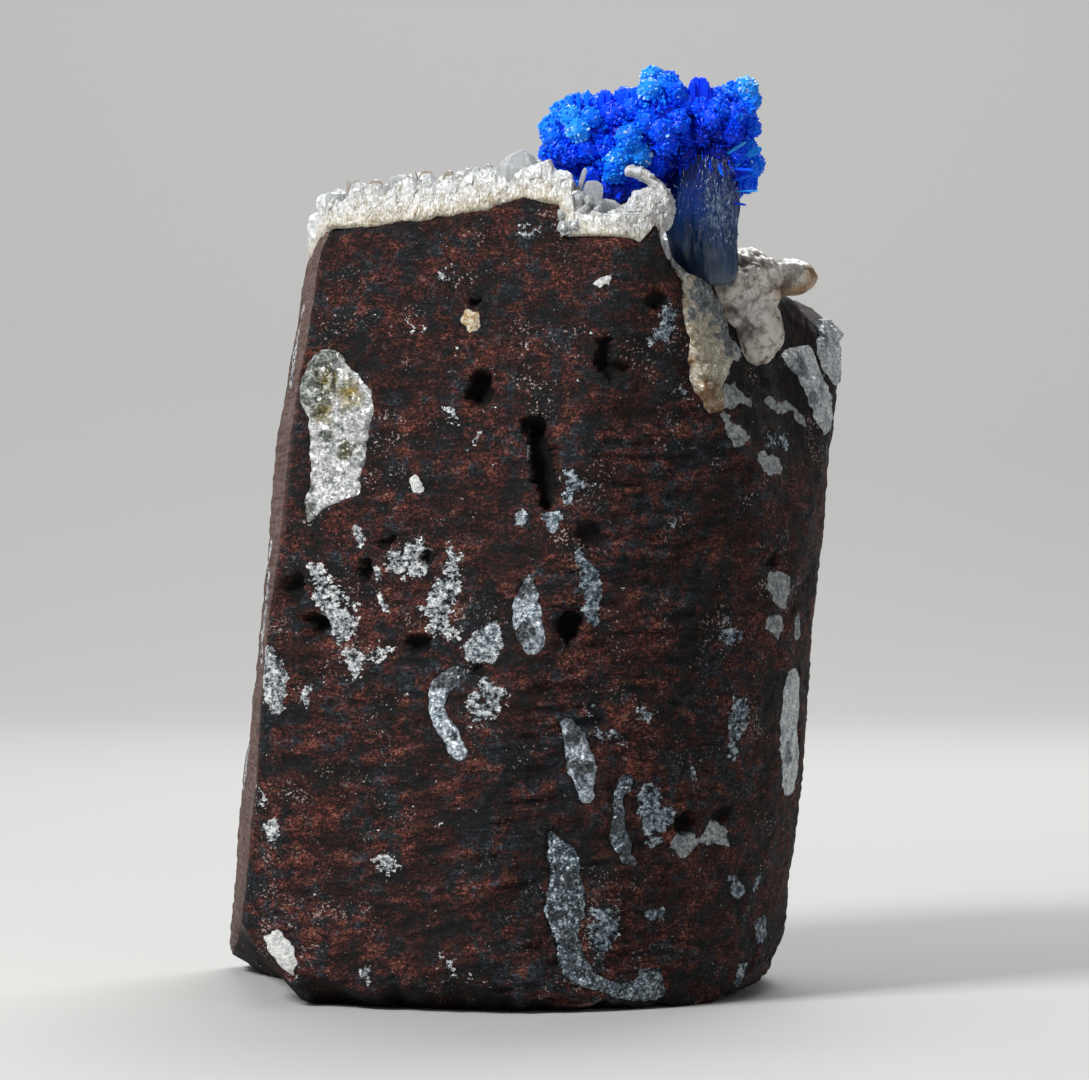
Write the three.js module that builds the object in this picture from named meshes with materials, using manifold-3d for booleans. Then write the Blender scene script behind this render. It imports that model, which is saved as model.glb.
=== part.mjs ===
// Cavansite on zeolite-lined basalt: a leaning piece of drill core that carries a white zeolite
// crust and a blue cavansite cluster on its broken top. Millimetres, +Z up, front towards -Y.
// The origin lies on the flat foot, on the ground. Angles are in degrees around the core axis, from
// +X towards +Y, so the front is at -90.
import * as THREE from 'three';
import { mergeVertices } from 'three/addons/utils/BufferGeometryUtils.js';
import Module from 'manifold-3d';

const wasm = await Module();
wasm.setup();

// ---------------------------------------------------------------- driving dimensions

const CORE_RADIUS = 31.75; // HQ drill core, 63.5 mm across
const AXIS_X = -3.55; // core axis where it meets the ground
const AXIS_Y = 2.0;
const LEAN = 0.0976; // sideways run of the axis per millimetre of height
const EDGE_ROUNDING = 0.3; // softness of the edges between faces
const CLEARANCE = 0.3; // gap kept between pieces that touch

// Flat faces of the column: which way each faces and how far it lies from the axis.
const SIDE_FACE = { facing: -175, distance: 24.5 };
const LEFT_FACE_LOW = { height: 21, facing: -113.2, distance: 29.3 };
const LEFT_FACE_HIGH = { height: 62, facing: -106.4, distance: 27.7 };
const NOTCH_FACE = { height: 71, facing: -30.3, distance: 25.7, slope: 0.28 };

// Heights of the broken edges as [angle, height], once around the column.
const TOP_EDGE = [
  [-134, 75.9], [-114, 76.6], [-100, 77.8], [-94, 78.4], [-87, 78.0], [-85.5, 75.0], [-77, 74.9],
  [-72, 74.3], [-69, 76.3], [-66.5, 72.6], [-60, 71.2], [-25, 71.0], [-12, 69.4], [-4, 67.0],
  [4, 66.4], [12, 68.0], [25, 70.4], [45, 72.0], [70, 75.4], [110, 76.6], [150, 75.6], [190, 76.4],
];
const FOOT_EDGE = [
  [-136, 7.4], [-125, 2.3], [-117, 3.1], [-110, 1.8], [-102, 2.8], [-90, 3.1], [-80, 1.4],
  [-63, 0.8], [-53, 0.4], [-38, 0.3], [-26, 1.4], [-15, 2.4], [-8, 4.6], [10, 3.0], [30, 1.2],
  [60, 2.2], [95, 0.9], [125, 2.6], [150, 2.0], [172, 5.2], [190, 6.8], [207, 7.4],
];
const SUMMIT_HEIGHT = 76.8; // broken top at the axis
const FOOT_INSET = 2.6; // the flat foot stops this far inside the broken foot edge,
const FOOT_SLANT = 0.8; // and further in where that edge is high

// ---------------------------------------------------------------- small helpers

/** Repeatable random numbers from 0 to 1. */
function randomSource(seed) {
  let state = seed;
  return () => {
    state = (state * 1664525 + 1013904223) % 4294967296;
    return state / 4294967296;
  };
}

const radians = THREE.MathUtils.degToRad;
const mix = THREE.MathUtils.lerp;

/** Value between two others, from 0 to 1 of the way. */
function between(value, low, high) {
  return THREE.MathUtils.clamp((value - low) / (high - low), 0, 1);
}

/** Height of a closed edge at an angle, straight between its listed points. */
function edgeHeight(edge, angle) {
  const turned = THREE.MathUtils.euclideanModulo(angle - edge[0][0], 360) + edge[0][0];
  const next = edge.findIndex(([at]) => at > turned);
  const [highAngle, highHeight] = next < 0 ? [edge[0][0] + 360, edge[0][1]] : edge[next];
  const [lowAngle, lowHeight] = edge.at(next < 0 ? -1 : next - 1);
  return mix(lowHeight, highHeight, between(turned, lowAngle, highAngle));
}

/** Smallest of several lengths, with the corner between them rounded over `softness`. */
function softMin(lengths, softness) {
  const least = Math.min(...lengths);
  const sum = lengths.reduce((total, length) => total + Math.exp((least - length) / softness), 0);
  return least - softness * Math.log(sum);
}

// ---------------------------------------------------------------- solids

/**
 * Closed body of rings from a low pole to a high pole.
 * pointAt(ring, column) gives a Vector3; ring -1 is the low pole and ring `rings` the high one.
 */
function ringedBody(rings, columns, pointAt) {
  const points = [pointAt(-1, 0)];
  for (let ring = 0; ring < rings; ring += 1) {
    for (let column = 0; column < columns; column += 1) points.push(pointAt(ring, column));
  }
  points.push(pointAt(rings, 0));
  const at = (ring, column) => 1 + ring * columns + (column % columns);
  const triangles = [];
  for (let column = 0; column < columns; column += 1) {
    triangles.push(0, at(0, column + 1), at(0, column));
    triangles.push(at(rings - 1, column), at(rings - 1, column + 1), points.length - 1);
    for (let ring = 0; ring < rings - 1; ring += 1) {
      triangles.push(at(ring, column), at(ring, column + 1), at(ring + 1, column + 1));
      triangles.push(at(ring, column), at(ring + 1, column + 1), at(ring + 1, column));
    }
  }
  const geometry = new THREE.BufferGeometry().setFromPoints(points);
  geometry.setIndex(triangles);
  return geometry;
}

/** Turns a closed geometry into a solid that can be joined and cut. */
function solid(geometry) {
  const merged = mergeVertices(geometry, 1e-5);
  return new wasm.Manifold(new wasm.Mesh({
    numProp: 3,
    vertProperties: new Float32Array(merged.attributes.position.array),
    triVerts: new Uint32Array(merged.index.array),
  }));
}

/** Joins many solids two by two. */
function joined(solids) {
  let left = solids;
  while (left.length > 1) {
    left = left.reduce((pairs, item, index) => {
      if (index % 2 === 0) pairs.push(item);
      else pairs.push(pairs.pop().add(item));
      return pairs;
    }, []);
  }
  return left[0];
}

/** Geometry of a finished solid. */
function geometryOf(body) {
  const mesh = body.getMesh();
  const geometry = new THREE.BufferGeometry();
  geometry.setAttribute('position', new THREE.Float32BufferAttribute(mesh.vertProperties, 3));
  geometry.setIndex(new THREE.Uint32BufferAttribute(mesh.triVerts, 1));
  geometry.computeVertexNormals();
  return geometry;
}

/**
 * Crystal standing on the origin along +Z: a flattened prism with a point set off its centre.
 * `footShare` is its width at the foot as a share of `width`, which it has at its shoulder.
 */
function crystal({ width, thickness, length, sides, shoulder, tipShift, footShare = 1 }) {
  return ringedBody(2, sides, (ring, column) => {
    if (ring === -1) return new THREE.Vector3(0, 0, 0);
    if (ring === 2) return new THREE.Vector3(tipShift * width, 0, length);
    const turn = ((column + 0.5) / sides) * Math.PI * 2;
    const height = ring === 0 ? 0 : length * (shoulder + 0.1 * Math.cos(turn));
    const size = ring === 0 ? footShare / 2 : 0.5;
    return new THREE.Vector3(Math.cos(turn) * width * size, Math.sin(turn) * thickness * size, height);
  });
}

/** Moves a geometry that stands along +Z so that it stands at `foot` along `direction`. */
function stood(geometry, foot, direction, spin) {
  const turn = new THREE.Quaternion().setFromUnitVectors(new THREE.Vector3(0, 0, 1), direction);
  turn.multiply(new THREE.Quaternion().setFromAxisAngle(new THREE.Vector3(0, 0, 1), spin));
  return geometry.applyMatrix4(new THREE.Matrix4().compose(foot, turn, new THREE.Vector3(1, 1, 1)));
}

/** Lumpy ellipsoid; `grow` enlarges it on every side. */
function ellipsoid({ centre, radii, columns = 10, rings = 5 }, grow = 0) {
  const [x, y, z] = radii.map((radius) => radius + grow);
  return ringedBody(rings, columns, (ring, column) => {
    const rise = ((ring + 1) / (rings + 1) - 0.5) * Math.PI;
    const turn = (column / columns) * Math.PI * 2;
    const level = Math.cos(rise);
    return new THREE.Vector3(
      centre[0] + x * level * Math.cos(turn),
      centre[1] + y * level * Math.sin(turn),
      centre[2] + z * Math.sin(rise),
    );
  });
}

// ---------------------------------------------------------------- basalt column

/** Distance from the axis to a flat face, in the direction `angle`. */
function faceReach(angle, facing, distance) {
  const slant = Math.cos(radians(angle - facing));
  return slant > 0.05 ? distance / slant : Infinity;
}

/** Gentle unevenness of the column's skin. */
function relief(angle, height) {
  const turn = radians(angle);
  return 0.12 * Math.sin(3 * turn + 0.09 * height) + 0.1 * Math.sin(7 * turn - 0.21 * height);
}

/** Radius of the column in the direction `angle` at a height. */
function columnReach(angle, height) {
  const climb = between(height, LEFT_FACE_LOW.height, LEFT_FACE_HIGH.height);
  const leftFacing = mix(LEFT_FACE_LOW.facing, LEFT_FACE_HIGH.facing, climb);
  const leftDistance = mix(LEFT_FACE_LOW.distance, LEFT_FACE_HIGH.distance, climb);
  const notchDistance = NOTCH_FACE.distance + NOTCH_FACE.slope * (NOTCH_FACE.height - height);
  const reaches = [
    CORE_RADIUS,
    faceReach(angle, SIDE_FACE.facing, SIDE_FACE.distance),
    faceReach(angle, leftFacing, leftDistance),
    faceReach(angle, NOTCH_FACE.facing, notchDistance),
  ];
  return softMin(reaches, EDGE_ROUNDING) + relief(angle, height);
}

/** Point at a distance from the leaning axis. */
function aroundAxis(angle, height, distance) {
  return new THREE.Vector3(
    AXIS_X + LEAN * height + distance * Math.cos(radians(angle)),
    AXIS_Y + distance * Math.sin(radians(angle)),
    height,
  );
}

/** Height of the broken top, `share` of the way from the axis to its edge. */
function topHeight(angle, share) {
  const bumps = 0.5 * Math.sin(5 * share + radians(3 * angle)) * share * (1 - share) * 4;
  const edge = edgeHeight(TOP_EDGE, angle);
  return edge + (SUMMIT_HEIGHT - edge) * (1 - share) ** 1.5 + bumps;
}

// Columns of the mesh lie close together across the front, where the edges are most broken.
const COLUMN_ANGLES = [];
for (let angle = -138; angle < -60; angle += 4) COLUMN_ANGLES.push(angle);
for (let angle = -60; angle < 20; angle += 6) COLUMN_ANGLES.push(angle);
for (let angle = 24; angle < 216; angle += 12) COLUMN_ANGLES.push(angle);

const SIDE_RINGS = 8;
const TOP_SHARES = [0.9, 0.6, 0.3];

/** The whole column, with every face moved out by `grow`. */
function columnBody(grow) {
  const rings = 2 + SIDE_RINGS + TOP_SHARES.length;
  return ringedBody(rings, COLUMN_ANGLES.length, (ring, column) => {
    const angle = COLUMN_ANGLES[column];
    if (ring === -1) return aroundAxis(0, -grow, 0);
    if (ring === rings) return aroundAxis(0, SUMMIT_HEIGHT + grow, 0);
    const foot = edgeHeight(FOOT_EDGE, angle);
    const top = edgeHeight(TOP_EDGE, angle);
    const inset = FOOT_INSET + FOOT_SLANT * foot;
    if (ring === 0) return aroundAxis(angle, -grow, columnReach(angle, 0) - inset + grow);
    if (ring <= SIDE_RINGS + 1) {
      const height = mix(foot, top, (ring - 1) / SIDE_RINGS);
      const lift = ring === SIDE_RINGS + 1 ? grow : 0;
      return aroundAxis(angle, height + lift, columnReach(angle, height) + grow);
    }
    const share = TOP_SHARES[ring - SIDE_RINGS - 2];
    const edge = columnReach(angle, top) + grow;
    return aroundAxis(angle, topHeight(angle, share) + grow, edge * share);
  });
}

// ---------------------------------------------------------------- fillings and hollows

const OUTSIDE = 3; // how far a pocket's cutter stands out of the column

/** Distance that one degree spans on the column's skin. */
const DEGREE_LENGTH = radians(CORE_RADIUS);

/**
 * Lens that follows the column's skin: `across` and `up` are half sizes along the skin in
 * millimetres, `lean` turns it in the skin, `deep` is how far it reaches in and `proud` how far
 * it stands out. A cutter is larger by the clearance and goes right through the skin.
 */
function skinLens(lens, cutter) {
  const { angle, height, across, up, deep, lean = 0, proud = 0.12, uneven = 0.12, columns = 8 } = lens;
  const grow = cutter ? CLEARANCE : 0;
  const profile = cutter
    ? [[0, -deep - grow], [0.55, -0.85 * deep - grow], [1, -0.35 * deep], [1, OUTSIDE], [0, OUTSIDE]]
    : [[0, -deep], [0.55, -0.85 * deep], [1, -0.35 * deep], [1, 0], [0.6, proud], [0, proud]];
  return ringedBody(profile.length - 2, columns, (ring, column) => {
    const [share, out] = profile[ring + 1];
    const turn = (column / columns) * Math.PI * 2;
    const wobble = 1 + uneven * (Math.sin(2 * turn + angle) + Math.sin(3 * turn + height));
    const along = share * (across * wobble + grow) * Math.cos(turn);
    const rise = share * (up * wobble + grow) * Math.sin(turn);
    const turned = radians(lean);
    const skinAngle = angle + (along * Math.cos(turned) - rise * Math.sin(turned)) / DEGREE_LENGTH;
    const skinHeight = height + along * Math.sin(turned) + rise * Math.cos(turned);
    return aroundAxis(skinAngle, skinHeight, columnReach(skinAngle, skinHeight) + out);
  });
}

// White amygdules: gas bubbles of the lava that zeolite has filled, cut flush with the column.
const AMYGDULES = {
  amygdule_left: [{ angle: -127.6, height: 56, across: 3.4, up: 8.2, deep: 2.2 }],
  amygdule_heart: [{ angle: -98.6, height: 28.7, across: 2.0, up: 4.9, lean: 14, deep: 1.8 }],
  amygdule_crease: [{ angle: -84.8, height: 38.3, across: 1.6, up: 4.1, lean: 8, deep: 1.6 }],
  amygdule_middle: [{ angle: -73.9, height: 24.1, across: 1.8, up: 4.4, lean: 10, deep: 1.8 }],
  amygdule_small: [{ angle: -64.5, height: 18.8, across: 1.4, up: 4.3, lean: -5, deep: 1.6 }],
  amygdule_foot: [
    { angle: -74.6, height: 11.2, across: 2.0, up: 6.6, lean: 4, deep: 1.9 },
    { angle: -66.2, height: 4.9, across: 5.6, up: 2.0, lean: -6, deep: 1.7 },
  ],
  amygdule_right: [{ angle: -19.5, height: 26.2, across: 3.4, up: 6.4, deep: 2.2 }],
};

// Open gas bubbles on the front, and more on the back.
const VUGS = [
  { angle: -98.8, height: 59.5, across: 1.3, up: 1.0, deep: 1.7 },
  { angle: -84.4, height: 52.4, across: 1.2, up: 3.8, lean: 6, deep: 2.0 },
  { angle: -77.0, height: 63.3, across: 0.9, up: 1.6, deep: 1.5 },
  { angle: -76.4, height: 44.8, across: 0.9, up: 1.4, deep: 1.4 },
  { angle: -127.9, height: 37.2, across: 1.0, up: 1.1, deep: 1.4 },
  { angle: -119.7, height: 42.9, across: 1.1, up: 0.9, deep: 1.4 },
  { angle: -106.1, height: 35.8, across: 1.0, up: 1.0, deep: 1.5 },
  { angle: -101.7, height: 68.5, across: 0.9, up: 0.9, deep: 1.3 },
  { angle: -48.3, height: 18.7, across: 1.7, up: 1.0, deep: 2.0 },
  { angle: 24, height: 52, across: 1.6, up: 2.4, deep: 2.0 },
  { angle: 48, height: 22, across: 1.3, up: 1.2, deep: 1.6 },
  { angle: 83, height: 61, across: 1.8, up: 1.3, deep: 2.0 },
  { angle: 168, height: 48, across: 1.4, up: 1.4, deep: 1.8 },
];

/** Basalt with its pockets for the fillings and its open bubbles. */
function basaltCore() {
  const vugs = VUGS.map((vug) => ({ ...vug, columns: 6 }));
  const pockets = [...Object.values(AMYGDULES).flat(), ...vugs];
  return solid(columnBody(0)).subtract(joined(pockets.map((lens) => solid(skinLens(lens, true)))));
}

/** Zeolite filling of one pocket. */
function amygdule(lenses) {
  return joined(lenses.map((lens) => solid(skinLens(lens, false))));
}

// ---------------------------------------------------------------- pieces on the notch face

/** Skin of zeolite on the notch face, outside the column by the clearance. */
function notchSkin(lenses, grow = 0) {
  const grownColumn = solid(columnBody(CLEARANCE - grow));
  const skins = lenses.map((lens) => solid(skinLens(
    { deep: 1.5, ...lens, across: lens.across + grow, up: lens.up + grow, proud: lens.proud + grow },
    false,
  )));
  return joined(skins).subtract(grownColumn);
}

const LINING = [
  { angle: -59.5, height: 67.4, across: 3.4, up: 3.4, lean: 20, proud: 1.2 },
  { angle: -54.0, height: 64.8, across: 4.4, up: 3.2, lean: 24, proud: 1.3 },
  { angle: -51.0, height: 60.6, across: 2.4, up: 3.6, lean: 18, proud: 1.1 },
];
const UPPER_VEIN = [{ angle: -5.4, height: 64.4, across: 1.6, up: 3.9, lean: 8, proud: 1.0 }];
const LOWER_VEIN = [
  { angle: -16.6, height: 62.2, across: 2.6, up: 3.4, lean: 34, proud: 1.2 },
  { angle: -11.8, height: 59.0, across: 2.0, up: 4.0, lean: 18, proud: 1.1 },
];

// Rounded brown calcite that grew over the lip of the notch.
const CALCITE_LOBES = [
  { centre: [25.0, -13.6, 70.7], radii: [4.8, 4.2, 3.4] },
  { centre: [29.0, -10.6, 71.4], radii: [2.3, 2.8, 1.8] },
  { centre: [24.8, -14.6, 66.3], radii: [3.0, 2.9, 3.3] },
  { centre: [22.6, -16.2, 69.6], radii: [2.9, 2.9, 3.3] },
];

/** All calcite lobes grown together. */
function calciteBody(grow = 0) {
  return joined(CALCITE_LOBES.map((lobe) => solid(ellipsoid(lobe, grow))));
}

// Clear column under the cluster: outlines as [height, centre x, centre y, half width, half depth].
const CLEAR_COLUMN_SIDES = 9;
const CLEAR_COLUMN = [
  [70.2, 19.0, -18.6, 1.6, 1.7],
  [72.6, 19.2, -18.6, 2.7, 2.6],
  [75.6, 19.6, -18.7, 3.6, 3.1],
  [79.6, 19.6, -18.8, 3.7, 3.3],
  [83.0, 19.4, -18.8, 2.8, 2.6],
];

/** Clear, many-sided column; `grow` enlarges it. */
function clearColumnBody(grow = 0) {
  const rings = CLEAR_COLUMN.length;
  return ringedBody(rings, CLEAR_COLUMN_SIDES, (ring, column) => {
    const [height, x, y, halfWidth, halfDepth] = CLEAR_COLUMN[THREE.MathUtils.clamp(ring, 0, rings - 1)];
    const size = ring === -1 || ring === rings ? 0 : 1;
    const turn = ((column + 0.3) / CLEAR_COLUMN_SIDES) * Math.PI * 2;
    return new THREE.Vector3(
      x + size * (halfWidth + grow) * Math.cos(turn),
      y + size * (halfDepth + grow) * Math.sin(turn),
      height,
    );
  });
}

// ---------------------------------------------------------------- cavansite cluster

const SHEAF_FOOT = 0.45; // the sheaves start at this share of a lobe's radius
const SHEAF_REACH = 1.2; // and reach this share of it
const CLUSTER_LOBES = [
  { centre: [8.0, -19.6, 84.6], radii: [3.7, 3.6, 3.8], sheaves: 14 },
  { centre: [14.6, -19.0, 86.2], radii: [4.2, 4.8, 5.2], sheaves: 17 },
  { centre: [20.9, -18.6, 86.5], radii: [3.7, 4.0, 3.7], sheaves: 14 },
  { centre: [10.6, -20.8, 81.4], radii: [2.5, 2.7, 2.6], sheaves: 8 },
  { centre: [22.2, -18.0, 82.4], radii: [2.5, 3.0, 2.7], sheaves: 8 },
  { centre: [13.0, -12.8, 83.8], radii: [5.8, 4.2, 4.2], sheaves: 12 },
  { centre: [15.0, -17.4, 84.2], radii: [7.8, 4.4, 4.2], sheaves: 0 },
];

/** Whether a point lies inside one of the lobes other than `own`. */
function insideAnotherLobe(point, own) {
  return CLUSTER_LOBES.some((lobe) => {
    if (lobe === own) return false;
    const offset = point.clone().sub(new THREE.Vector3(...lobe.centre));
    return offset.divide(new THREE.Vector3(...lobe.radii)).length() < 1;
  });
}

/** Fan-shaped sheaves of one lobe, spread evenly over it and wide enough to crowd each other. */
function lobeSheaves(lobe, random) {
  const goldenTurn = Math.PI * (3 - Math.sqrt(5));
  const centre = new THREE.Vector3(...lobe.centre);
  const solids = [];
  for (let index = 0; index < lobe.sheaves; index += 1) {
    const level = 1 - (2 * (index + 0.5)) / lobe.sheaves;
    const flat = Math.sqrt(1 - level * level);
    const turn = index * goldenTurn + random() * 0.5;
    const reach = new THREE.Vector3(flat * Math.cos(turn), flat * Math.sin(turn), level);
    reach.multiply(new THREE.Vector3(...lobe.radii));
    const width = 2.9 + 1.0 * random();
    const sheaf = crystal({
      width,
      thickness: width * 0.72,
      length: reach.length() * (SHEAF_REACH - SHEAF_FOOT + 0.16 * (random() - 0.5)),
      sides: 5,
      shoulder: 0.74,
      tipShift: 0.5 * (random() - 0.5),
      footShare: 0.55,
    });
    const foot = centre.clone().addScaledVector(reach, SHEAF_FOOT);
    const tip = centre.clone().addScaledVector(reach, SHEAF_REACH);
    if (insideAnotherLobe(tip, lobe)) continue;
    solids.push(solid(stood(sheaf, foot, reach.normalize(), random() * Math.PI)));
  }
  return solids;
}

/** Room that the cluster takes, with every side moved out by `grow`. */
function clusterRoom(grow) {
  const rooms = CLUSTER_LOBES.map(({ centre, radii, sheaves }) => {
    const share = sheaves > 0 ? SHEAF_REACH + 0.16 : 1;
    return ellipsoid({ centre, radii: radii.map((radius) => radius * share), columns: 8, rings: 3 }, grow);
  });
  return joined(rooms.map(solid));
}

/** The whole blue cluster. */
function cavansiteCluster() {
  const random = randomSource(77);
  const cores = CLUSTER_LOBES.map(({ centre, radii, sheaves }) => {
    const share = sheaves > 0 ? 0.9 : 1;
    return ellipsoid({ centre, radii: radii.map((radius) => radius * share), columns: 6, rings: 2 });
  });
  const sheaves = CLUSTER_LOBES.flatMap((lobe) => lobeSheaves(lobe, random));
  return joined([...cores.map(solid), ...sheaves]).intersect(clusterRoom(0));
}

// ---------------------------------------------------------------- zeolite crust

const CRUST_THICKNESS = 2.8;
const CRUST_SHELF_REACH = 12.5; // the crust ends here on the side of the notch

// Rows of crystals, from one angle to another at a distance inside the edge of the crust.
const CRUST_ROWS = [
  { from: -130, to: -66, inset: 1.9, spacing: 2.8, width: 3.1, length: 2.9 },
  { from: -126, to: -66, inset: 4.8, spacing: 4.4, width: 3.6, length: 2.9 },
  { from: -60, to: 222, inset: 3.0, spacing: 6.8, width: 5.4, length: 2.2 },
  { from: -126, to: 230, inset: 10.5, spacing: 10.5, width: 7.2, length: 2.4 },
  { from: -120, to: 236, inset: 18.5, spacing: 11.0, width: 7.6, length: 2.6 },
];

/** How far the crust reaches from the axis in a direction. */
function crustReach(angle) {
  const edge = columnReach(angle, edgeHeight(TOP_EDGE, angle));
  const turned = THREE.MathUtils.euclideanModulo(angle + 180, 360) - 180;
  const onShelf = between(turned, -68, -64) * (1 - between(turned, 44, 62));
  return mix(edge, CRUST_SHELF_REACH, onShelf);
}

/** Sheet of crust on the broken top. */
function crustSheet() {
  const shares = [0.98, 1, 0.92];
  const heights = [-0.6, 0.6 * CRUST_THICKNESS, CRUST_THICKNESS];
  return ringedBody(shares.length, COLUMN_ANGLES.length, (ring, column) => {
    const angle = COLUMN_ANGLES[column];
    if (ring === -1) return aroundAxis(0, SUMMIT_HEIGHT - 2, 0);
    if (ring === shares.length) return aroundAxis(0, SUMMIT_HEIGHT + CRUST_THICKNESS, 0);
    const reach = crustReach(angle) * shares[ring];
    const edge = columnReach(angle, edgeHeight(TOP_EDGE, angle));
    return aroundAxis(angle, topHeight(angle, Math.min(1, reach / edge)) + heights[ring], reach);
  });
}

/** Tabular crystals in rows around the top, each leaning outwards a little. */
function crustCrystals() {
  const random = randomSource(5);
  const crystals = [];
  for (const { from, to, inset, spacing, width, length } of CRUST_ROWS) {
    const step = (spacing / (CORE_RADIUS - inset)) * THREE.MathUtils.RAD2DEG;
    for (let start = from; start < to - step / 2; start += step) {
      const angle = start + (random() - 0.5) * step * 0.4;
      const distance = crustReach(angle) - inset + (random() - 0.5);
      const edge = columnReach(angle, edgeHeight(TOP_EDGE, angle));
      const size = 0.8 + 0.4 * random();
      if (distance < 2) continue;
      const foot = aroundAxis(angle, topHeight(angle, distance / edge) + 0.4 * CRUST_THICKNESS, distance);
      const outward = aroundAxis(angle, 0, 1).sub(aroundAxis(angle, 0, 0));
      const lean = 0.1 + 0.3 * (random() - 0.5);
      const sideways = new THREE.Vector3(-outward.y, outward.x, 0).multiplyScalar(0.5 * (random() - 0.5));
      const direction = new THREE.Vector3(0, 0, 1).addScaledVector(outward, lean).add(sideways).normalize();
      const shape = crystal({
        width: width * size,
        thickness: width * size * 0.6,
        length: 0.6 * CRUST_THICKNESS + length * size,
        sides: 4,
        shoulder: 0.7,
        tipShift: 0.4 * (random() - 0.5),
        footShare: 0.6,
      });
      crystals.push(solid(stood(shape, foot, direction, random() * Math.PI)));
    }
  }
  return crystals;
}

/** White crust: the sheet and its crystals, clear of all that they touch. */
function zeoliteCrust() {
  return joined([solid(crustSheet()), ...crustCrystals()])
    .subtract(solid(columnBody(CLEARANCE)))
    .subtract(clusterRoom(CLEARANCE))
    .subtract(solid(clearColumnBody(CLEARANCE)))
    .subtract(calciteBody(CLEARANCE));
}

// ---------------------------------------------------------------- the specimen

const BASALT = { color: 0x5a3029, roughness: 0.7, metalness: 0 };
const ZEOLITE = { color: 0xe8e2da, roughness: 0.3, metalness: 0 };
const CAVANSITE = { color: 0x0a6fe0, roughness: 0.35, metalness: 0 };
const CLEAR_CRYSTAL = { color: 0x2c4a78, roughness: 0.15, metalness: 0 };
const CALCITE = { color: 0xb8a58a, roughness: 0.4, metalness: 0 };
const CREAM_ZEOLITE = { color: 0xb9ad8e, roughness: 0.5, metalness: 0 };

const specimen = new THREE.Group();

/** Adds one named piece to the specimen. */
function place(name, body, look) {
  const piece = new THREE.Mesh(geometryOf(body), new THREE.MeshStandardMaterial(look));
  piece.name = name;
  specimen.add(piece);
}

const grownColumn = solid(columnBody(CLEARANCE));
const clearColumn = solid(clearColumnBody()).subtract(grownColumn).subtract(clusterRoom(CLEARANCE));
const calcite = calciteBody().subtract(grownColumn).subtract(solid(clearColumnBody(CLEARANCE)));

place('basalt_core', basaltCore(), BASALT);
place('zeolite_crust', zeoliteCrust(), ZEOLITE);
place('cavansite_cluster', cavansiteCluster().subtract(grownColumn), CAVANSITE);
place('clear_column', clearColumn, CLEAR_CRYSTAL);
place('calcite_lump', calcite, CALCITE);
place('notch_lining', notchSkin(LINING).subtract(calciteBody(CLEARANCE)), CREAM_ZEOLITE);
place('upper_vein', notchSkin(UPPER_VEIN), ZEOLITE);
place('lower_vein', notchSkin(LOWER_VEIN).subtract(notchSkin(UPPER_VEIN, CLEARANCE)), ZEOLITE);
for (const [name, lenses] of Object.entries(AMYGDULES)) place(name, amygdule(lenses), ZEOLITE);

export default specimen;
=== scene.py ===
import math

import bpy
import numpy as np
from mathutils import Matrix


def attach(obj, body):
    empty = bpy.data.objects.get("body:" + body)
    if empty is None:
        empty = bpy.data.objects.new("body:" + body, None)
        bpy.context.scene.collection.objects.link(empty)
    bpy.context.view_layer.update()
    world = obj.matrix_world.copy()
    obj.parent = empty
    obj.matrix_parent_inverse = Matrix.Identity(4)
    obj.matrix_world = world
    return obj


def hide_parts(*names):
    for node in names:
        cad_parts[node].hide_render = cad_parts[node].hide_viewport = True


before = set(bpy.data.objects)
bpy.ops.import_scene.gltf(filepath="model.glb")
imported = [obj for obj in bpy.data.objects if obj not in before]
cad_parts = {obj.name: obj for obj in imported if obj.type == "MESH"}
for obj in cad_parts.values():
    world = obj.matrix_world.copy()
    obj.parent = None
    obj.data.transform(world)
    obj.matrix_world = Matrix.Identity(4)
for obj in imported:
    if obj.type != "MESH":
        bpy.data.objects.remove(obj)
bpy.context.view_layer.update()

# Sizes are in millimetres and angles in degrees around the core axis, from +X towards +Y, so the
# front is at -90. Points turn to metres where they go into a mesh.

# ---------------------------------------------------------------- basalt core
# A length of HQ drill core of oxidised basalt, broken off at both ends, with one sawn side and a
# notch under its broken top. Its skin keeps the level ridges of the drill bit, open gas bubbles
# and thin smears of zeolite; the deep bubbles that zeolite fills are pieces of their own.

MM = 0.001
CORE_RADIUS = 31.75
AXIS_X, AXIS_Y = -3.55, 2.0
LEAN = 0.0976  # sideways run of the axis per millimetre of height
DEGREE = math.radians(CORE_RADIUS)  # length of one degree on the skin
EDGE_ROUNDING = 0.3
SUMMIT_HEIGHT = 76.8
OUTSIDE = 2  # how far from a patch, in mm, its depth is still told apart

TOP_EDGE = [
    (-134, 75.9), (-133, 76.2), (-126.8, 76.2), (-117.7, 76.6), (-113.3, 76.8), (-111.9, 77.2),
    (-108.3, 77.1), (-101, 77.6), (-99.6, 78.1), (-93.6, 78.6), (-90.4, 78.3), (-86.9, 78.0),
    (-85.2, 75.0), (-77, 74.9),
    (-72, 74.3), (-69, 76.3), (-66.5, 72.6), (-60, 71.2), (-25, 71.0), (-12, 69.4), (-4, 67.0),
    (4, 66.4), (12, 68.0), (25, 70.4), (45, 72.0), (70, 75.4), (110, 76.6), (150, 75.6), (190, 76.4),
]
FOOT_EDGE = [
    (-136, 7.4), (-125, 2.3), (-117, 3.1), (-110, 1.8), (-102, 2.8), (-90, 3.1), (-80, 1.4),
    (-63, 0.8), (-53, 0.4), (-38, 0.3), (-26, 1.4), (-15, 2.4), (-8, 4.6), (10, 3.0), (30, 1.2),
    (60, 2.2), (95, 0.9), (125, 2.6), (150, 2.0), (172, 5.2), (190, 6.8), (207, 7.4),
]

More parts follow.
